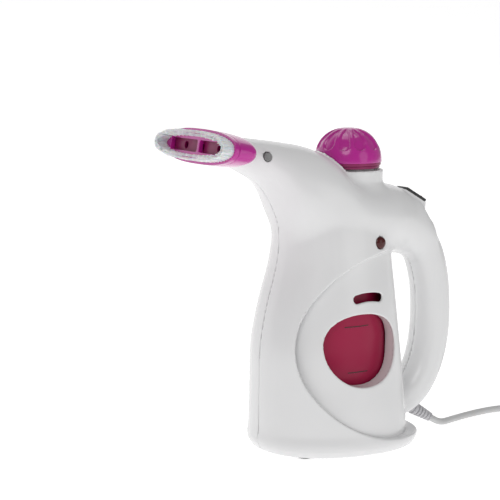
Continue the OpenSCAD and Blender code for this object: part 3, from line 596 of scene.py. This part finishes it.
def half_housing(x, y, z, side):
    """The wall of one half. y is its distance from the middle plane; side is -1 or 1."""
    hull = outer(x, y, z)
    hollow = hull + WALL
    hx, _, hz = local(x, y, z, HEAD_AT, HEAD_TILT - 90)
    hollow = smax(hollow, hz + 3.2, 1)
    if side > 0:
        for sx, sz, seat in CASE_SCREWS:
            column = np.maximum(np.hypot(x - sx, z - sz) - 4.6, seat - 2.5 - y)
            hollow = np.maximum(hollow, -column)
    window, slot = window_distance(x, z), slot_distance(x, z)
    tank_gap = section_distance(z, x, y, TANK_T, 2.1, (0, 1))
    rim = np.maximum(np.abs(window - 1.3) - 1.3, 0.7 - tank_gap)
    rim = np.maximum(rim, hull)
    wall = smax(hull, -hollow, 0.5)
    wall = np.minimum(wall, rim)
    wall = smax(wall, -window, 1.3)
    wall = smax(wall, -np.maximum(slot, 20 - y), 1.1)
    axis = np.hypot(x - FILLER_X, y)
    wall = smax(wall, -np.maximum(axis - 27.2, 215 - z), 0.7)
    wall = smax(wall, -np.maximum(axis - 20.8, 195 - z), 0.7)
    neck = np.hypot(hx, y)
    wall = smax(wall, -np.maximum(neck - 9.3, -hz - 33), 0.5)
    wall = smax(wall, hz, 0.9)
    wall = smax(wall, 1.5 - z, 0.8)
    sx, _, sz = local(x, y, z, SWITCH_AT, SWITCH_TILT)
    opening = np.maximum(np.maximum(np.abs(sx) - 9.7, np.abs(y) - 6.7), -sz - 22)
    wall = smax(wall, -opening, 0.3)
    rx, _, rz = local(x, y, z, (73, 0, 21), 120.33)
    wall = smax(wall, -np.maximum(np.hypot(rx, y) - 5.6, np.abs(rz) - 16), 0.9)
    wall = smax(wall, -np.maximum(np.hypot(x + 70.41, z - 228.81) - 3.5, 4 - y), 0.7)
    if side < 0:
        wall = smax(wall, -np.maximum(np.hypot(x - 18.6, z - 161) - 4.85, 10 - y), 0.4)
    else:
        for ax, az, seat in CASE_SCREWS:
            wall = smax(wall, -np.maximum(np.hypot(x - ax, z - az) - 3.5, seat - y), 0.5)
    return smax(wall, 0.06 - y, 0.35)


# %% [markdown]
# The surface is found with a net: one point in every cell that the surface passes through, and one face
# across every grid edge it crosses. The points are then moved onto the exact surface along its slope, and
# the slope gives the shading normals, so that highlights run smoothly over the blends.
# %% The net
GRID = 1.25       # mm; a coarser grid shows as bands in the highlights


def slope_of(field, p, e=0.05):
    """The slope of a distance field at points p, over e mm each way."""
    x, y, z = p.T
    return np.column_stack([(field(x + e, y, z) - field(x - e, y, z)),
                            (field(x, y + e, z) - field(x, y - e, z)),
                            (field(x, y, z + e) - field(x, y, z - e))]) / (2 * e)


def surface_net(field, low, high, h):
    """Points, quads and normals of the surface where field is zero, in mm."""
    axes = [np.arange(a, b + h, h) for a, b in zip(low, high)]
    value = field(axes[0][:, None, None], axes[1][None, :, None], axes[2][None, None, :])
    value = np.broadcast_to(value, [len(a) for a in axes])
    n = [len(a) - 1 for a in axes]
    total = np.zeros((*n, 3))
    count = np.zeros(n)
    quads = []
    for axis in range(3):
        u, w = [(1, 2), (2, 0), (0, 1)][axis]
        lo = [slice(None)] * 3
        hi = [slice(None)] * 3
        lo[axis], hi[axis] = slice(0, -1), slice(1, None)
        a, b = value[tuple(lo)], value[tuple(hi)]
        crossed = (a < 0) != (b < 0)
        idx = np.argwhere(crossed)
        va, vb = a[crossed], b[crossed]
        at = idx.astype(float)
        at[:, axis] += va / (va - vb)
        for du in (0, 1):
            for dw in (0, 1):
                cell = idx.copy()
                cell[:, u] -= du
                cell[:, w] -= dw
                good = np.all((cell >= 0) & (cell < n), axis=1)
                key = tuple(cell[good].T)
                for c in range(3):
                    np.add.at(total[..., c], key, at[good][:, c])
                np.add.at(count, key, 1)
        within = (idx[:, u] > 0) & (idx[:, w] > 0) & (idx[:, u] < n[u]) & (idx[:, w] < n[w])
        idx, rising = idx[within], (va < 0)[within]
        corners = []
        for du, dw in ((1, 1), (0, 1), (0, 0), (1, 0)):
            cell = idx.copy()
            cell[:, u] -= du
            cell[:, w] -= dw
            corners.append(np.ravel_multi_index(tuple(cell.T), n))
        ring = np.column_stack(corners)
        quads.append(np.where(rising[:, None], ring, ring[:, ::-1]))
    used = count > 0
    number = np.full(n, -1)
    number[used] = np.arange(used.sum())
    points = total[used] / count[used][:, None] * h + np.array([a[0] for a in axes])
    quads = number.ravel()[np.vstack(quads)]
    for _ in range(3):
        grade = slope_of(field, points)
        length = np.maximum((grade ** 2).sum(1), 0.3)
        step = -field(*points.T)[:, None] * grade / length[:, None]
        points += np.clip(step, -0.35 * h, 0.35 * h)
    grade = slope_of(field, points, 0.12)
    return points, quads, grade / np.maximum(np.linalg.norm(grade, axis=1, keepdims=True), 1e-9)


def housing_half(name, node, side):
    """One half of the housing as a mesh, made on the positive side and mirrored."""
    field = lambda x, y, z: half_housing(x, y, z, side)
    points, quads, normals = surface_net(field, (-102, -0.6, 0), (109, 58.6, 246), GRID)
    flip = np.array([1, side, 1])
    points, normals = points * flip, normals * flip
    if side < 0:
        quads = quads[:, ::-1]
    mesh = bpy.data.meshes.new(name)
    mesh.from_pydata((points * MM).tolist(), [], quads.tolist())
    mesh.materials.append(white_abs)
    mesh.shade_smooth()
    mesh.normals_split_custom_set_from_vertices(normals.tolist())
    made = bpy.data.objects.new(name, mesh)
    bpy.context.scene.collection.objects.link(made)
    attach(made, "root")
    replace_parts(made, node)
    print(name, len(quads), "quads")
    return made


housing_half("housing_near", "housing_left", -1)
housing_half("housing_far", "housing_right", 1)

# %% [markdown]
# ## Cap
# The dome carries soft flutes: shallow U-shaped hollows with round lower ends that run up and fade towards
# the top, with narrow ridges between them. It is a grid of points, pushed inwards where a flute is.
# %% Cap dome
FLUTES = 11
DOME_R, DOME_H, DOME_LOW = 26, 26, 221


def fluted_dome(columns=330, rows=110):
    """The cap's dome with its flutes and its inner wall."""
    turn = np.linspace(0, 2 * np.pi, columns, endpoint=False)
    rings = []
    for a in np.linspace(0, 1, rows):
        t = a * math.pi / 2 * 0.985
        r = DOME_R * math.cos(t) ** (2 / 2.25)
        z = DOME_H * math.sin(t) ** (2 / 2.25)
        flute = (turn / (2 * np.pi) * FLUTES + 0.5) % 1 - 0.5
        sideways = np.abs(flute) * 2 * np.pi * max(r, 2) / FLUTES
        half = np.pi * max(r, 2) / FLUTES - 0.75
        end = np.clip((z - 9.5) / 5.5, 0, 1.5)
        room = half * np.sqrt(np.clip(1 - (1 - np.minimum(end, 1)) ** 2, 0, 1))
        edge = np.clip((room - sideways) / 1.9, 0, 1)
        fade = np.clip((r - 5) / 7, 0, 1)
        depth = 1.5 * edge * edge * (3 - 2 * edge) * fade * fade * (3 - 2 * fade)
        tilt = math.atan2(z / DOME_H, r / DOME_R)
        rr, zz = r - depth * math.cos(tilt), z - depth * math.sin(tilt)
        rings.append(np.column_stack([FILLER_X + rr * np.cos(turn), rr * np.sin(turn), DOME_LOW + zz]))
    lip = [(DOME_R, 0.0), (DOME_R - 0.15, -0.25), (DOME_R - 1.8, -0.25), (DOME_R - 2.2, 0.3),
           (DOME_R - 2.4, 6), (DOME_R - 5, 15), (DOME_R - 12, 21.5), (1, 23.4)]
    low = [np.column_stack([FILLER_X + r * np.cos(turn), r * np.sin(turn), np.full(columns, DOME_LOW + z)])
           for r, z in lip[1:]]
    made = piece("cap_fluted", *skin_over(low[::-1] + rings), magenta_abs, "cap", 50)
    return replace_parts(made, "cap_dome")


fluted_dome()
# A ring under the dome in the shaded magenta: its dark colour is painted shade in the gap between the cap and
# the collar
shade_skirt = piece("cap_shade_skirt", *turned(rounded([(22.0, 216.2), (24.4, 216.2), (24.4, 218.5), (22.0, 218.5)], 0.5),
                                   (FILLER_X, 0), 96, True), shaded_magenta_abs, "cap")

# %% [markdown]
# ## Steam head and brush
# The head is an oval shell with rounded shoulders. Its frame of reference is the neck's end: Z leaves the
# neck and X points up the head. The face plate and the brush are separate, with the brush's two long
# openings and the bar between them.
# %% Head shapes
HEAD_HALF_WIDTH, HEAD_HALF_LENGTH = 13, 57.5
WIDTH_POWER, LENGTH_POWER = 2.3, 2.5


def lobe(c, power):
    """A sine or cosine bent to the superellipse of this power."""
    return math.copysign(abs(c) ** (2 / power), c)


def oval(inset_x, inset_y, z, count=120):
    """A ring of the head's outline, inset on its width and length."""
    return [((HEAD_HALF_WIDTH - inset_x) * lobe(math.cos(t), WIDTH_POWER),
             (HEAD_HALF_LENGTH - inset_y) * lobe(math.sin(t), LENGTH_POWER), z)
            for t in np.linspace(0, 2 * math.pi, count, endpoint=False)]


def at_head(points):
    """Points from the head's frame, put in the object's."""
    return placed(points, HEAD_AT, HEAD_TILT - 90)


def head_shell():
    """The open oval shell of the steam head, outside and inside."""
    rise = smooth_route([(0.8, 5.0, 8), (0.9, 4.2, 6.4), (1.5, 2.9, 4), (2.6, 1.75, 2.3), (4.5, 0.8, 1),
                         (6.5, 0.4, 0.5), (9, 0.2, 0.3), (13, 0.05, 0.1), (16.6, 0, 0)], 3)
    outside = [oval(dx, dy, z) for z, dx, dy in rise] + [oval(0.12, 0.12, 16.95), oval(0.35, 0.35, 17)]
    inside = [oval(1.6, 1.6, 17), oval(1.8, 1.8, 16.7)]
    inside += [oval(dx + 1.8, dy + 1.8, z + 1.8) for z, dx, dy in rise[::-1] if z < 15]
    points, faces = skin_over(outside + inside, close_ends=True)
    made = piece("head_moulding", at_head(points), faces, magenta_abs, "steam_head", 40)
    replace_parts(made, "head_shell")
    return made


def plate_with_holes(name, outline, holes, z0, z1, edge, material, body):
    """A flat plate in the head's frame with through holes, all edges rounded."""
    work = bmesh.new()
    loops = []
    for ring in [outline] + holes:
        verts = [work.verts.new((p[0] * MM, p[1] * MM, z0 * MM)) for p in ring]
        loops += [work.edges.new((verts[i], verts[(i + 1) % len(verts)])) for i in range(len(verts))]
    bmesh.ops.triangle_fill(work, use_beauty=True, use_dissolve=False, edges=loops)
    swept = bmesh.ops.extrude_face_region(work, geom=work.faces[:])
    up = [v for v in swept["geom"] if isinstance(v, bmesh.types.BMVert)]
    bmesh.ops.translate(work, verts=up, vec=(0, 0, (z1 - z0) * MM))
    bmesh.ops.recalc_face_normals(work, faces=work.faces)
    sharp = [e for e in work.edges if len(e.link_faces) == 2 and e.calc_face_angle(0) > 1.0]
    bmesh.ops.bevel(work, geom=sharp, offset=edge * MM, segments=2, profile=0.6, affect="EDGES",
                    clamp_overlap=True)
    spin = (Matrix.Translation([c * MM for c in HEAD_AT])
            @ Matrix.Rotation(math.radians(HEAD_TILT - 90), 4, "Y"))
    bmesh.ops.transform(work, matrix=spin, verts=work.verts)
    mesh = bpy.data.meshes.new(name)
    work.to_mesh(mesh)
    work.free()
    made = bpy.data.objects.new(name, mesh)
    bpy.context.scene.collection.objects.link(made)
    mesh.materials.append(material)
    smoothed(made, 38)
    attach(made, body)
    return made


def slot_ring(y0, y1, half, corner=2.2):
    """The outline of a long hole with round corners."""
    return rounded([(-half, y0), (half, y0), (half, y1), (-half, y1)], corner, 5)


def circle(cx, cy, r, count=32):
    """The outline of a round hole."""
    return [(cx + r * math.cos(t), cy + r * math.sin(t))
            for t in np.linspace(0, 2 * math.pi, count, endpoint=False)]


head_shell()
# The face plate takes the shaded magenta: its darker colour is painted shade inside the head
face = plate_with_holes("head_face_plate", [p[:2] for p in oval(2.1, 2.1, 0)],
                        [circle(0, y, 3) for y in (-26, 0, 26)]
                        + [slot_ring(y - 2.5, y + 2.5, 3, 0.4) for y in (-49, 49)],
                        14.6, 17, 0.25, shaded_magenta_abs, "steam_head")
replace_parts(face, "head_face")
frame_piece = plate_with_holes("brush_rim", [p[:2] for p in oval(0, 0, 0)],
                               [slot_ring(-44, -1.5, 4.6), slot_ring(1.5, 44, 4.6)],
                               17.3, 20.7, 0.7, magenta_abs, "brush")
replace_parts(frame_piece, "brush_frame")

# %% [markdown]
# Each bristle tuft is a bunch of thin nylon filaments. Filament roots are set in rings round the tuft
# points, and a node tree stands a filament on each root, leans each filament a little, and makes them real.
# %% Bristles
TUFT_ROWS = ((2.8, 52), (5.2, 44))      # inset from the rim in mm, and tufts in a full row
BRUSH_FACE = 20.7


def bristle_points():
    """The places of the tufts, in two rows that leave the brush's openings free."""
    points = []
    for inset, count in TUFT_ROWS:
        for i in range(count):
            t = 2 * math.pi * i / count
            x = (HEAD_HALF_WIDTH - inset) * lobe(math.cos(t), WIDTH_POWER)
            y = (HEAD_HALF_LENGTH - inset) * lobe(math.sin(t), LENGTH_POWER)
            if abs(x) > 5.4 or abs(y) > 45:
                points.append((x, y, BRUSH_FACE))
    return points


def bristle_tree():
    """The node tree that grows one thin filament on every root."""
    tree = bpy.data.node_groups.new("bristle_tufts", "GeometryNodeTree")
    tree.interface.new_socket("Roots", in_out="INPUT", socket_type="NodeSocketGeometry")
    for name, value in (("Length", 0.009), ("Radius", 0.00022), ("Lean", 0.09)):
        tree.interface.new_socket(name, in_out="INPUT", socket_type="NodeSocketFloat").default_value = value
    tree.interface.new_socket("Seed", in_out="INPUT", socket_type="NodeSocketInt").default_value = 7
    tree.interface.new_socket("Bristles", in_out="OUTPUT", socket_type="NodeSocketGeometry")
    given = add(tree, "NodeGroupInput")
    out = add(tree, "NodeGroupOutput")
    rod = add(tree, "GeometryNodeMeshCone", {"Vertices": 6, "Side Segments": 1})
    tree.links.new(given.outputs["Length"], rod.inputs["Depth"])
    tree.links.new(given.outputs["Radius"], rod.inputs["Radius Bottom"])
    taper = add(tree, "ShaderNodeMath", {1: 0.75}, operation="MULTIPLY")
    tree.links.new(given.outputs["Radius"], taper.inputs[0])
    tree.links.new(taper.outputs[0], rod.inputs["Radius Top"])
    lean = add(tree, "FunctionNodeRandomValue", data_type="FLOAT_VECTOR")
    negative = add(tree, "ShaderNodeMath", {1: -1.0}, operation="MULTIPLY")
    tree.links.new(given.outputs["Lean"], negative.inputs[0])
    tree.links.new(negative.outputs[0], lean.inputs["Min"])
    tree.links.new(given.outputs["Lean"], lean.inputs["Max"])
    tree.links.new(given.outputs["Seed"], lean.inputs["Seed"])
    spread = add(tree, "GeometryNodeInstanceOnPoints")
    tree.links.new(given.outputs["Roots"], spread.inputs["Points"])
    tree.links.new(rod.outputs["Mesh"], spread.inputs["Instance"])
    tree.links.new(lean.outputs["Value"], spread.inputs["Rotation"])
    real = add(tree, "GeometryNodeRealizeInstances")
    tree.links.new(spread.outputs["Instances"], real.inputs["Geometry"])
    paint = add(tree, "GeometryNodeSetMaterial", {"Material": bristle_nylon})
    tree.links.new(real.outputs["Geometry"], paint.inputs["Geometry"])
    tree.links.new(paint.outputs["Geometry"], out.inputs["Bristles"])
    return tree


def grown(name, base, tree, values):
    """The plain mesh that a node tree makes from a mesh of points or an outline."""
    holder = bpy.data.objects.new(name + "_roots", base)
    bpy.context.scene.collection.objects.link(holder)
    modifier = holder.modifiers.new("grow", "NODES")
    modifier.node_group = tree
    for item in tree.interface.items_tree:
        if item.in_out == "INPUT" and item.name in values:
            modifier[item.identifier] = values[item.name]
    graph = bpy.context.evaluated_depsgraph_get()
    mesh = bpy.data.meshes.new_from_object(holder.evaluated_get(graph))
    bpy.data.objects.remove(holder)
    made = bpy.data.objects.new(name, mesh)
    bpy.context.scene.collection.objects.link(made)
    return made


def bristles():
    """Every tuft's filaments as one mesh on the brush's body."""
    rng = np.random.default_rng(5)
    roots = []
    for x, y, z in bristle_points():
        for ring_r, number in ((0.0, 1), (0.42, 5), (0.78, 8)):
            start = rng.uniform(0, 6.28)
            for k in range(number):
                t = start + 2 * math.pi * k / number
                roots.append((x + ring_r * math.cos(t), y + ring_r * math.sin(t), z - 0.3))
    base = bpy.data.meshes.new("tuft_roots")
    base.from_pydata((np.array(roots) * MM).tolist(), [], [])
    made = grown("brush_tufts", base, bristle_tree(), {"Length": 0.0092, "Radius": 0.00022, "Lean": 0.05})
    made.data.transform(Matrix.Translation([c * MM for c in HEAD_AT])
                        @ Matrix.Rotation(math.radians(HEAD_TILT - 90), 4, "Y"))
    smoothed(made, 50)
    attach(made, "brush")
    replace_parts(made, "brush_bristles")
    print("bristles:", len(roots), "filaments")
    return made


bristles()

# %% [markdown]
# ## Tank
# The tank is clear crimson plastic, seen through the windows and the slots. It is a skin with a wall of
# 2 mm, open at the filler and over the heater, with two plain level lines moulded on each side.
# %% Tank and level lines
def tank_ring(z, inset=0.0, count=120):
    """A ring of the tank's wall at height z."""
    at, v, _ = TANK_T
    front, rear, half = (np.interp(z, at, v[:, c]) for c in range(3))
    a, c, half = (rear - front) / 2 - inset, (rear + front) / 2, half - inset
    return [(c + a * lobe(math.cos(t), 2.1), half * lobe(math.sin(t), 2.1), z)
            for t in np.linspace(0, 2 * math.pi, count, endpoint=False)]


def level_circle(x, r, z, count=120):
    """A level ring round the upright line at x."""
    return [(x + r * math.cos(t), r * math.sin(t), z)
            for t in np.linspace(0, 2 * math.pi, count, endpoint=False)]


def tank():
    """The tank's moulding and its steam port."""
    heights = np.linspace(44.6, 172, 64)
    rings = [level_circle(-3, 28, 44), tank_ring(44, 1.2), tank_ring(44.1, 0.6)]
    rings += [tank_ring(z) for z in heights]
    rings += [tank_ring(172.9, 0.5), level_circle(FILLER_X, 17.5, 173), level_circle(FILLER_X, 17.5, 171)]
    rings += [tank_ring(z, 2) for z in heights[::-1] if 46 < z < 170]
    rings += [level_circle(-3, 28, 46)]
    made = piece("tank_moulding", *skin_over(rings, closed_row=True), tank_clear, crease=40)
    port = piece("tank_port", *turned([(2.6, 168), (4.2, 168), (4.2, 177.6), (3.9, 178), (2.9, 178),
                                       (2.6, 177.7)], (-21, 0), 32, True), tank_clear)
    for thing in (made, port):
        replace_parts(thing, "water_tank")
    return made


def level_line(name, side, z, x0, x1):
    """A plain raised line on the tank's wall at height z."""
    at, v, _ = TANK_T
    front, rear, half = (np.interp(z, at, v[:, c]) for c in range(3))
    a, c = (rear - front) / 2, (rear + front) / 2
    rings = []
    for x in np.linspace(x0, x1, 14):
        y = half * (1 - abs((x - c) / a) ** 2.1) ** (1 / 2.1)
        rings.append([(x, side * (y - 0.2), z - 0.5), (x, side * (y + 0.25), z - 0.35),
                      (x, side * (y + 0.25), z + 0.35), (x, side * (y - 0.2), z + 0.5)])
    made = piece(name, *skin_over(rings), tank_mark)
    return made


tank()
for side, word in ((-1, "near"), (1, "far")):
    level_line("level_high_" + word, side, 98, -12, 10)
    level_line("level_low_" + word, side, 63, -10, 8)

# %% [markdown]
# ## Small visible pieces
# The lamp's lens is a dome of dark red plastic. The release buttons are pins with a raised rim. The strain
# relief is a cone cut by rings so that it bends with the cord. Screw heads carry a cross recess.
# %% Turned and recessed pieces
def lens():
    """The lamp's dome, let into the near side."""
    profile = [(0.01, 5.4), (4.7, 5.4), (4.7, 0.4)]
    profile += [(4.7 * math.cos(t), 0.4 - 2.3 * math.sin(t)) for t in np.linspace(0.1, 1.5, 9)]
    points, faces = turned(profile, sides=64)
    points = [(18.6 + p[0], -38.2 + p[2], 161 + p[1]) for p in points]
    made = piece("lamp_lens", points, faces, lens_plastic, crease=50)
    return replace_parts(made, "indicator_lens")


def button(name, node, body, side):
    """A release button with its raised rim, on its own body."""
    profile = [(0.01, 22.1), (1.6, 22.1), (1.75, 22.3), (2.8, 22.3), (3.1, 22.0), (3.1, 17.2), (4.7, 17.1),
               (4.7, 16.3), (3.1, 16.2), (3.1, 9.0), (0.01, 9.0)]
    points, faces = turned(profile, sides=48)
    points = [(-70.41 + p[0], side * p[2], 228.81 + p[1]) for p in points]
    made = piece(name, points, faces, button_abs, body)
    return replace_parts(made, node)


def strain_relief():
    """The cone round the cord, with its rings and the flange inside the housing."""
    length = 23.75
    profile = [(2.7, -9), (5.9, -9), (6, -8.8), (6, -7.4), (5.9, -7.2), (4.5, -7.2), (4.5, 4.0), (5.1, 4.2),
               (5.3, 4.6)]
    ribs = 5
    for k in range(ribs):
        z0 = 5.2 + k * (length - 6.4) / ribs
        pitch = (length - 6.4) / ribs
        for share, cut in ((0.0, 0.15), (0.08, 0), (0.5, 0), (0.58, 0.15), (0.62, 1.6), (0.9, 1.6),
                           (0.96, 0.5)):
            z = z0 + share * pitch
            profile.append((5.3 - 1.6 * (z - 4.6) / (length - 4.6) - cut * 0.75, z))
    profile += [(3.75, length - 0.8), (3.65, length - 0.2), (3.4, length), (2.75, length), (2.7, length - 9),
                (2.7, 0)]
    points, faces = turned(profile, sides=56, closed_row=True)
    made = piece("relief_moulding", placed(points, (73, 0, 21), 120.33), faces, pale_grey_pvc, crease=30)
    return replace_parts(made, "strain_relief")


def screw_points(head_r, shank_r, shank, sides=48):
    """A screw along +Z with its head's face at 0, cross recess in it, and its shank going down."""
    turn = np.linspace(0, 2 * np.pi, sides, endpoint=False)
    rings = [[(shank_r * 0.3 * math.cos(t), shank_r * 0.3 * math.sin(t), -shank) for t in turn],
             [(shank_r * math.cos(t), shank_r * math.sin(t), -shank + 1.2) for t in turn],
             [(shank_r * math.cos(t), shank_r * math.sin(t), -1.9) for t in turn],
             [(head_r * math.cos(t), head_r * math.sin(t), -1.8) for t in turn],
             [(head_r * math.cos(t), head_r * math.sin(t), -0.7) for t in turn]]
    for share in (0.97, 0.85, 0.7, 0.64, 0.6, 0.5, 0.35, 0.28, 0.22, 0.15, 0.08, 0.01):
        r = head_r * share
        ring = []
        for t in turn:
            x, y = r * math.cos(t), r * math.sin(t)
            arm = min(abs(x), abs(y))
            cut = 1.0 if (arm < 0.42 and r < head_r * 0.63) else 0.0
            ring.append((x, y, -0.55 * share ** 3 - cut * 1.0))
        rings.append(ring)
    return skin_over(rings)


def screw_set(name, node, places, head_r, shank_r, shank, turn):
    """One mesh with a screw at each place, all turned the same way."""
    points, faces = [], []
    for at in places:
        p, f = screw_points(head_r, shank_r, shank)
        spin = np.array(turn)
        faces += [tuple(i + len(points) for i in face) for face in f]
        points += [tuple(spin @ np.array(q) + np.array(at)) for q in p]
    made = piece(name, points, faces, zinc_steel, crease=30)
    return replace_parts(made, node)


lens()
button("button_near", "release_button_left", "button_left", -1)
button("button_far", "release_button_right", "button_right", 1)
strain_relief()
DOWN = Matrix.Rotation(math.pi, 3, "X")
OUT = Matrix.Rotation(-math.pi / 2, 3, "X")
screw_set("base_screw_set", "base_screws", [(x, y, 1.8) for x in (-20, 20) for y in (-40, 40)],
          3.1, 1.4, 15, DOWN)
screw_set("case_screw_set", "housing_screws", [(x, seat + 2.0, z) for x, z, seat in CASE_SCREWS],
          3.1, 1.4, 12, OUT)

# %% [markdown]
# ## The rest of the CAD pieces
# Pieces that are already the right shape keep it. Each is copied, its doubles are merged, its edges are
# rounded by a small radius that suits it, and it gets its own finish.
# %% Kept pieces
# The cap's liner and the head's spigot take the shaded magenta, whose darker colour is painted shade
KEPT = [("base_plate", pale_abs, 0.5, "pale_plastic"), ("rubber_feet", dark_rubber, 0.25, "rubber_dark"),
        ("filler_neck", white_abs, 0.3, "white_shell"), ("heater_gasket", silicone, 0.2, "silicone"),
        ("heater_plate", cast_aluminium, 0.4, "aluminium"),
        ("heating_element", heater_steel, 0, "heater_sheath"),
        ("tank_screws", zinc_steel, 0.2, "steel"), ("thermostat", bakelite, 0.25, "bakelite"),
        ("thermal_fuse", silicone, 0, "silicone"), ("steam_tube", silicone, 0, "silicone"),
        ("head_socket", pale_abs, 0.2, "pale_plastic"), ("socket_seal", dark_rubber, 0.2, "rubber_dark"),
        ("indicator_lamp", lamp_glass, 0.3, "lamp_glass"), ("lamp_holder", nylon, 0.2, "nylon_white"),
        ("switch_bezel", black_abs, 0.55, "black_plastic"), ("switch_body", black_abs, 0.3, "black_plastic"),
        ("switch_terminals", brass, 0.1, "brass"), ("switch_rocker", red_abs, 0.45, "red_plastic"),
        ("terminal_block", nylon, 0.3, "nylon_white"), ("cord_clamp", nylon, 0.3, "nylon_white"),
        ("inner_cord", grey_pvc, 0, "grey_pvc"), ("live_wires", brown_pvc, 0, "wire_brown"),
        ("neutral_wires", blue_pvc, 0, "wire_blue"), ("cap_liner", shaded_magenta_abs, 0.3, "magenta_plastic"),
        ("cap_seal", silicone, 0.2, "silicone"), ("button_spring_left", zinc_steel, 0, "steel"),
        ("button_spring_right", zinc_steel, 0, "steel"),
        ("head_spigot", shaded_magenta_abs, 0.25, "magenta_plastic")]
for node, material, edge, slot_name in KEPT:
    softened(node, material, edge)

# %% [markdown]
# ## Studio
# White floor and background, a large soft light above and in front on the left, a weaker one on the right,
# and one overhead.
# %% Stage and light
def floor():
    """A white sweep that curves up behind the object."""
    mesh = bpy.data.meshes.new("floor")
    bend = [(y, 0) for y in (-4, 3)] + [(3 + 1.5 * math.sin(t), 1.5 - 1.5 * math.cos(t))
                                        for t in np.linspace(0.1, math.pi / 2, 12)] + [(4.5, 6)]
    mesh.from_pydata([(x, y, z) for y, z in bend for x in (-6, 6)], [],
                     [(2 * i, 2 * i + 1, 2 * i + 3, 2 * i + 2) for i in range(len(bend) - 1)])
    mesh.shade_smooth()
    made = bpy.data.objects.new("floor", mesh)
    bpy.context.scene.collection.objects.link(made)
    material = bpy.data.materials.new("floor_white")
    material.use_nodes = True
    shader = material.node_tree.nodes["Principled BSDF"]
    shader.inputs["Base Color"].default_value = (0.6, 0.6, 0.6, 1)
    shader.inputs["Roughness"].default_value = 0.6
    shader.inputs["Emission Color"].default_value = (1, 1, 1, 1)
    shader.inputs["Emission Strength"].default_value = 0.7
    mesh.materials.append(material)
    return made


def soft_light(name, at, power, size, aim=(0, 0, 0.12), colour=(1, 1, 1)):
    """A round area light that looks at aim."""
    data = bpy.data.lights.new(name, "AREA")
    data.shape = "DISK"
    data.size = size
    data.energy = power
    data.color = colour
    made = bpy.data.objects.new(name, data)
    bpy.context.scene.collection.objects.link(made)
    made.location = at
    made.rotation_euler = (Vector(aim) - Vector(at)).to_track_quat("-Z", "Y").to_euler()
    return made


stage = [floor(), soft_light("key", (-1.1, -1.3, 1.25), 6.5, 1.0),
         soft_light("fill", (0.7, -1.6, 0.5), 2, 1.0),
         soft_light("top", (0.2, 0.4, 1.7), 5, 1.2)]
world = bpy.data.worlds.new("studio")
bpy.context.scene.world = world
world.use_nodes = True
world.node_tree.nodes["Background"].inputs["Color"].default_value = (1, 1, 1, 1)
world.node_tree.nodes["Background"].inputs["Strength"].default_value = 0.3
bpy.context.scene.view_settings.view_transform = "Standard"
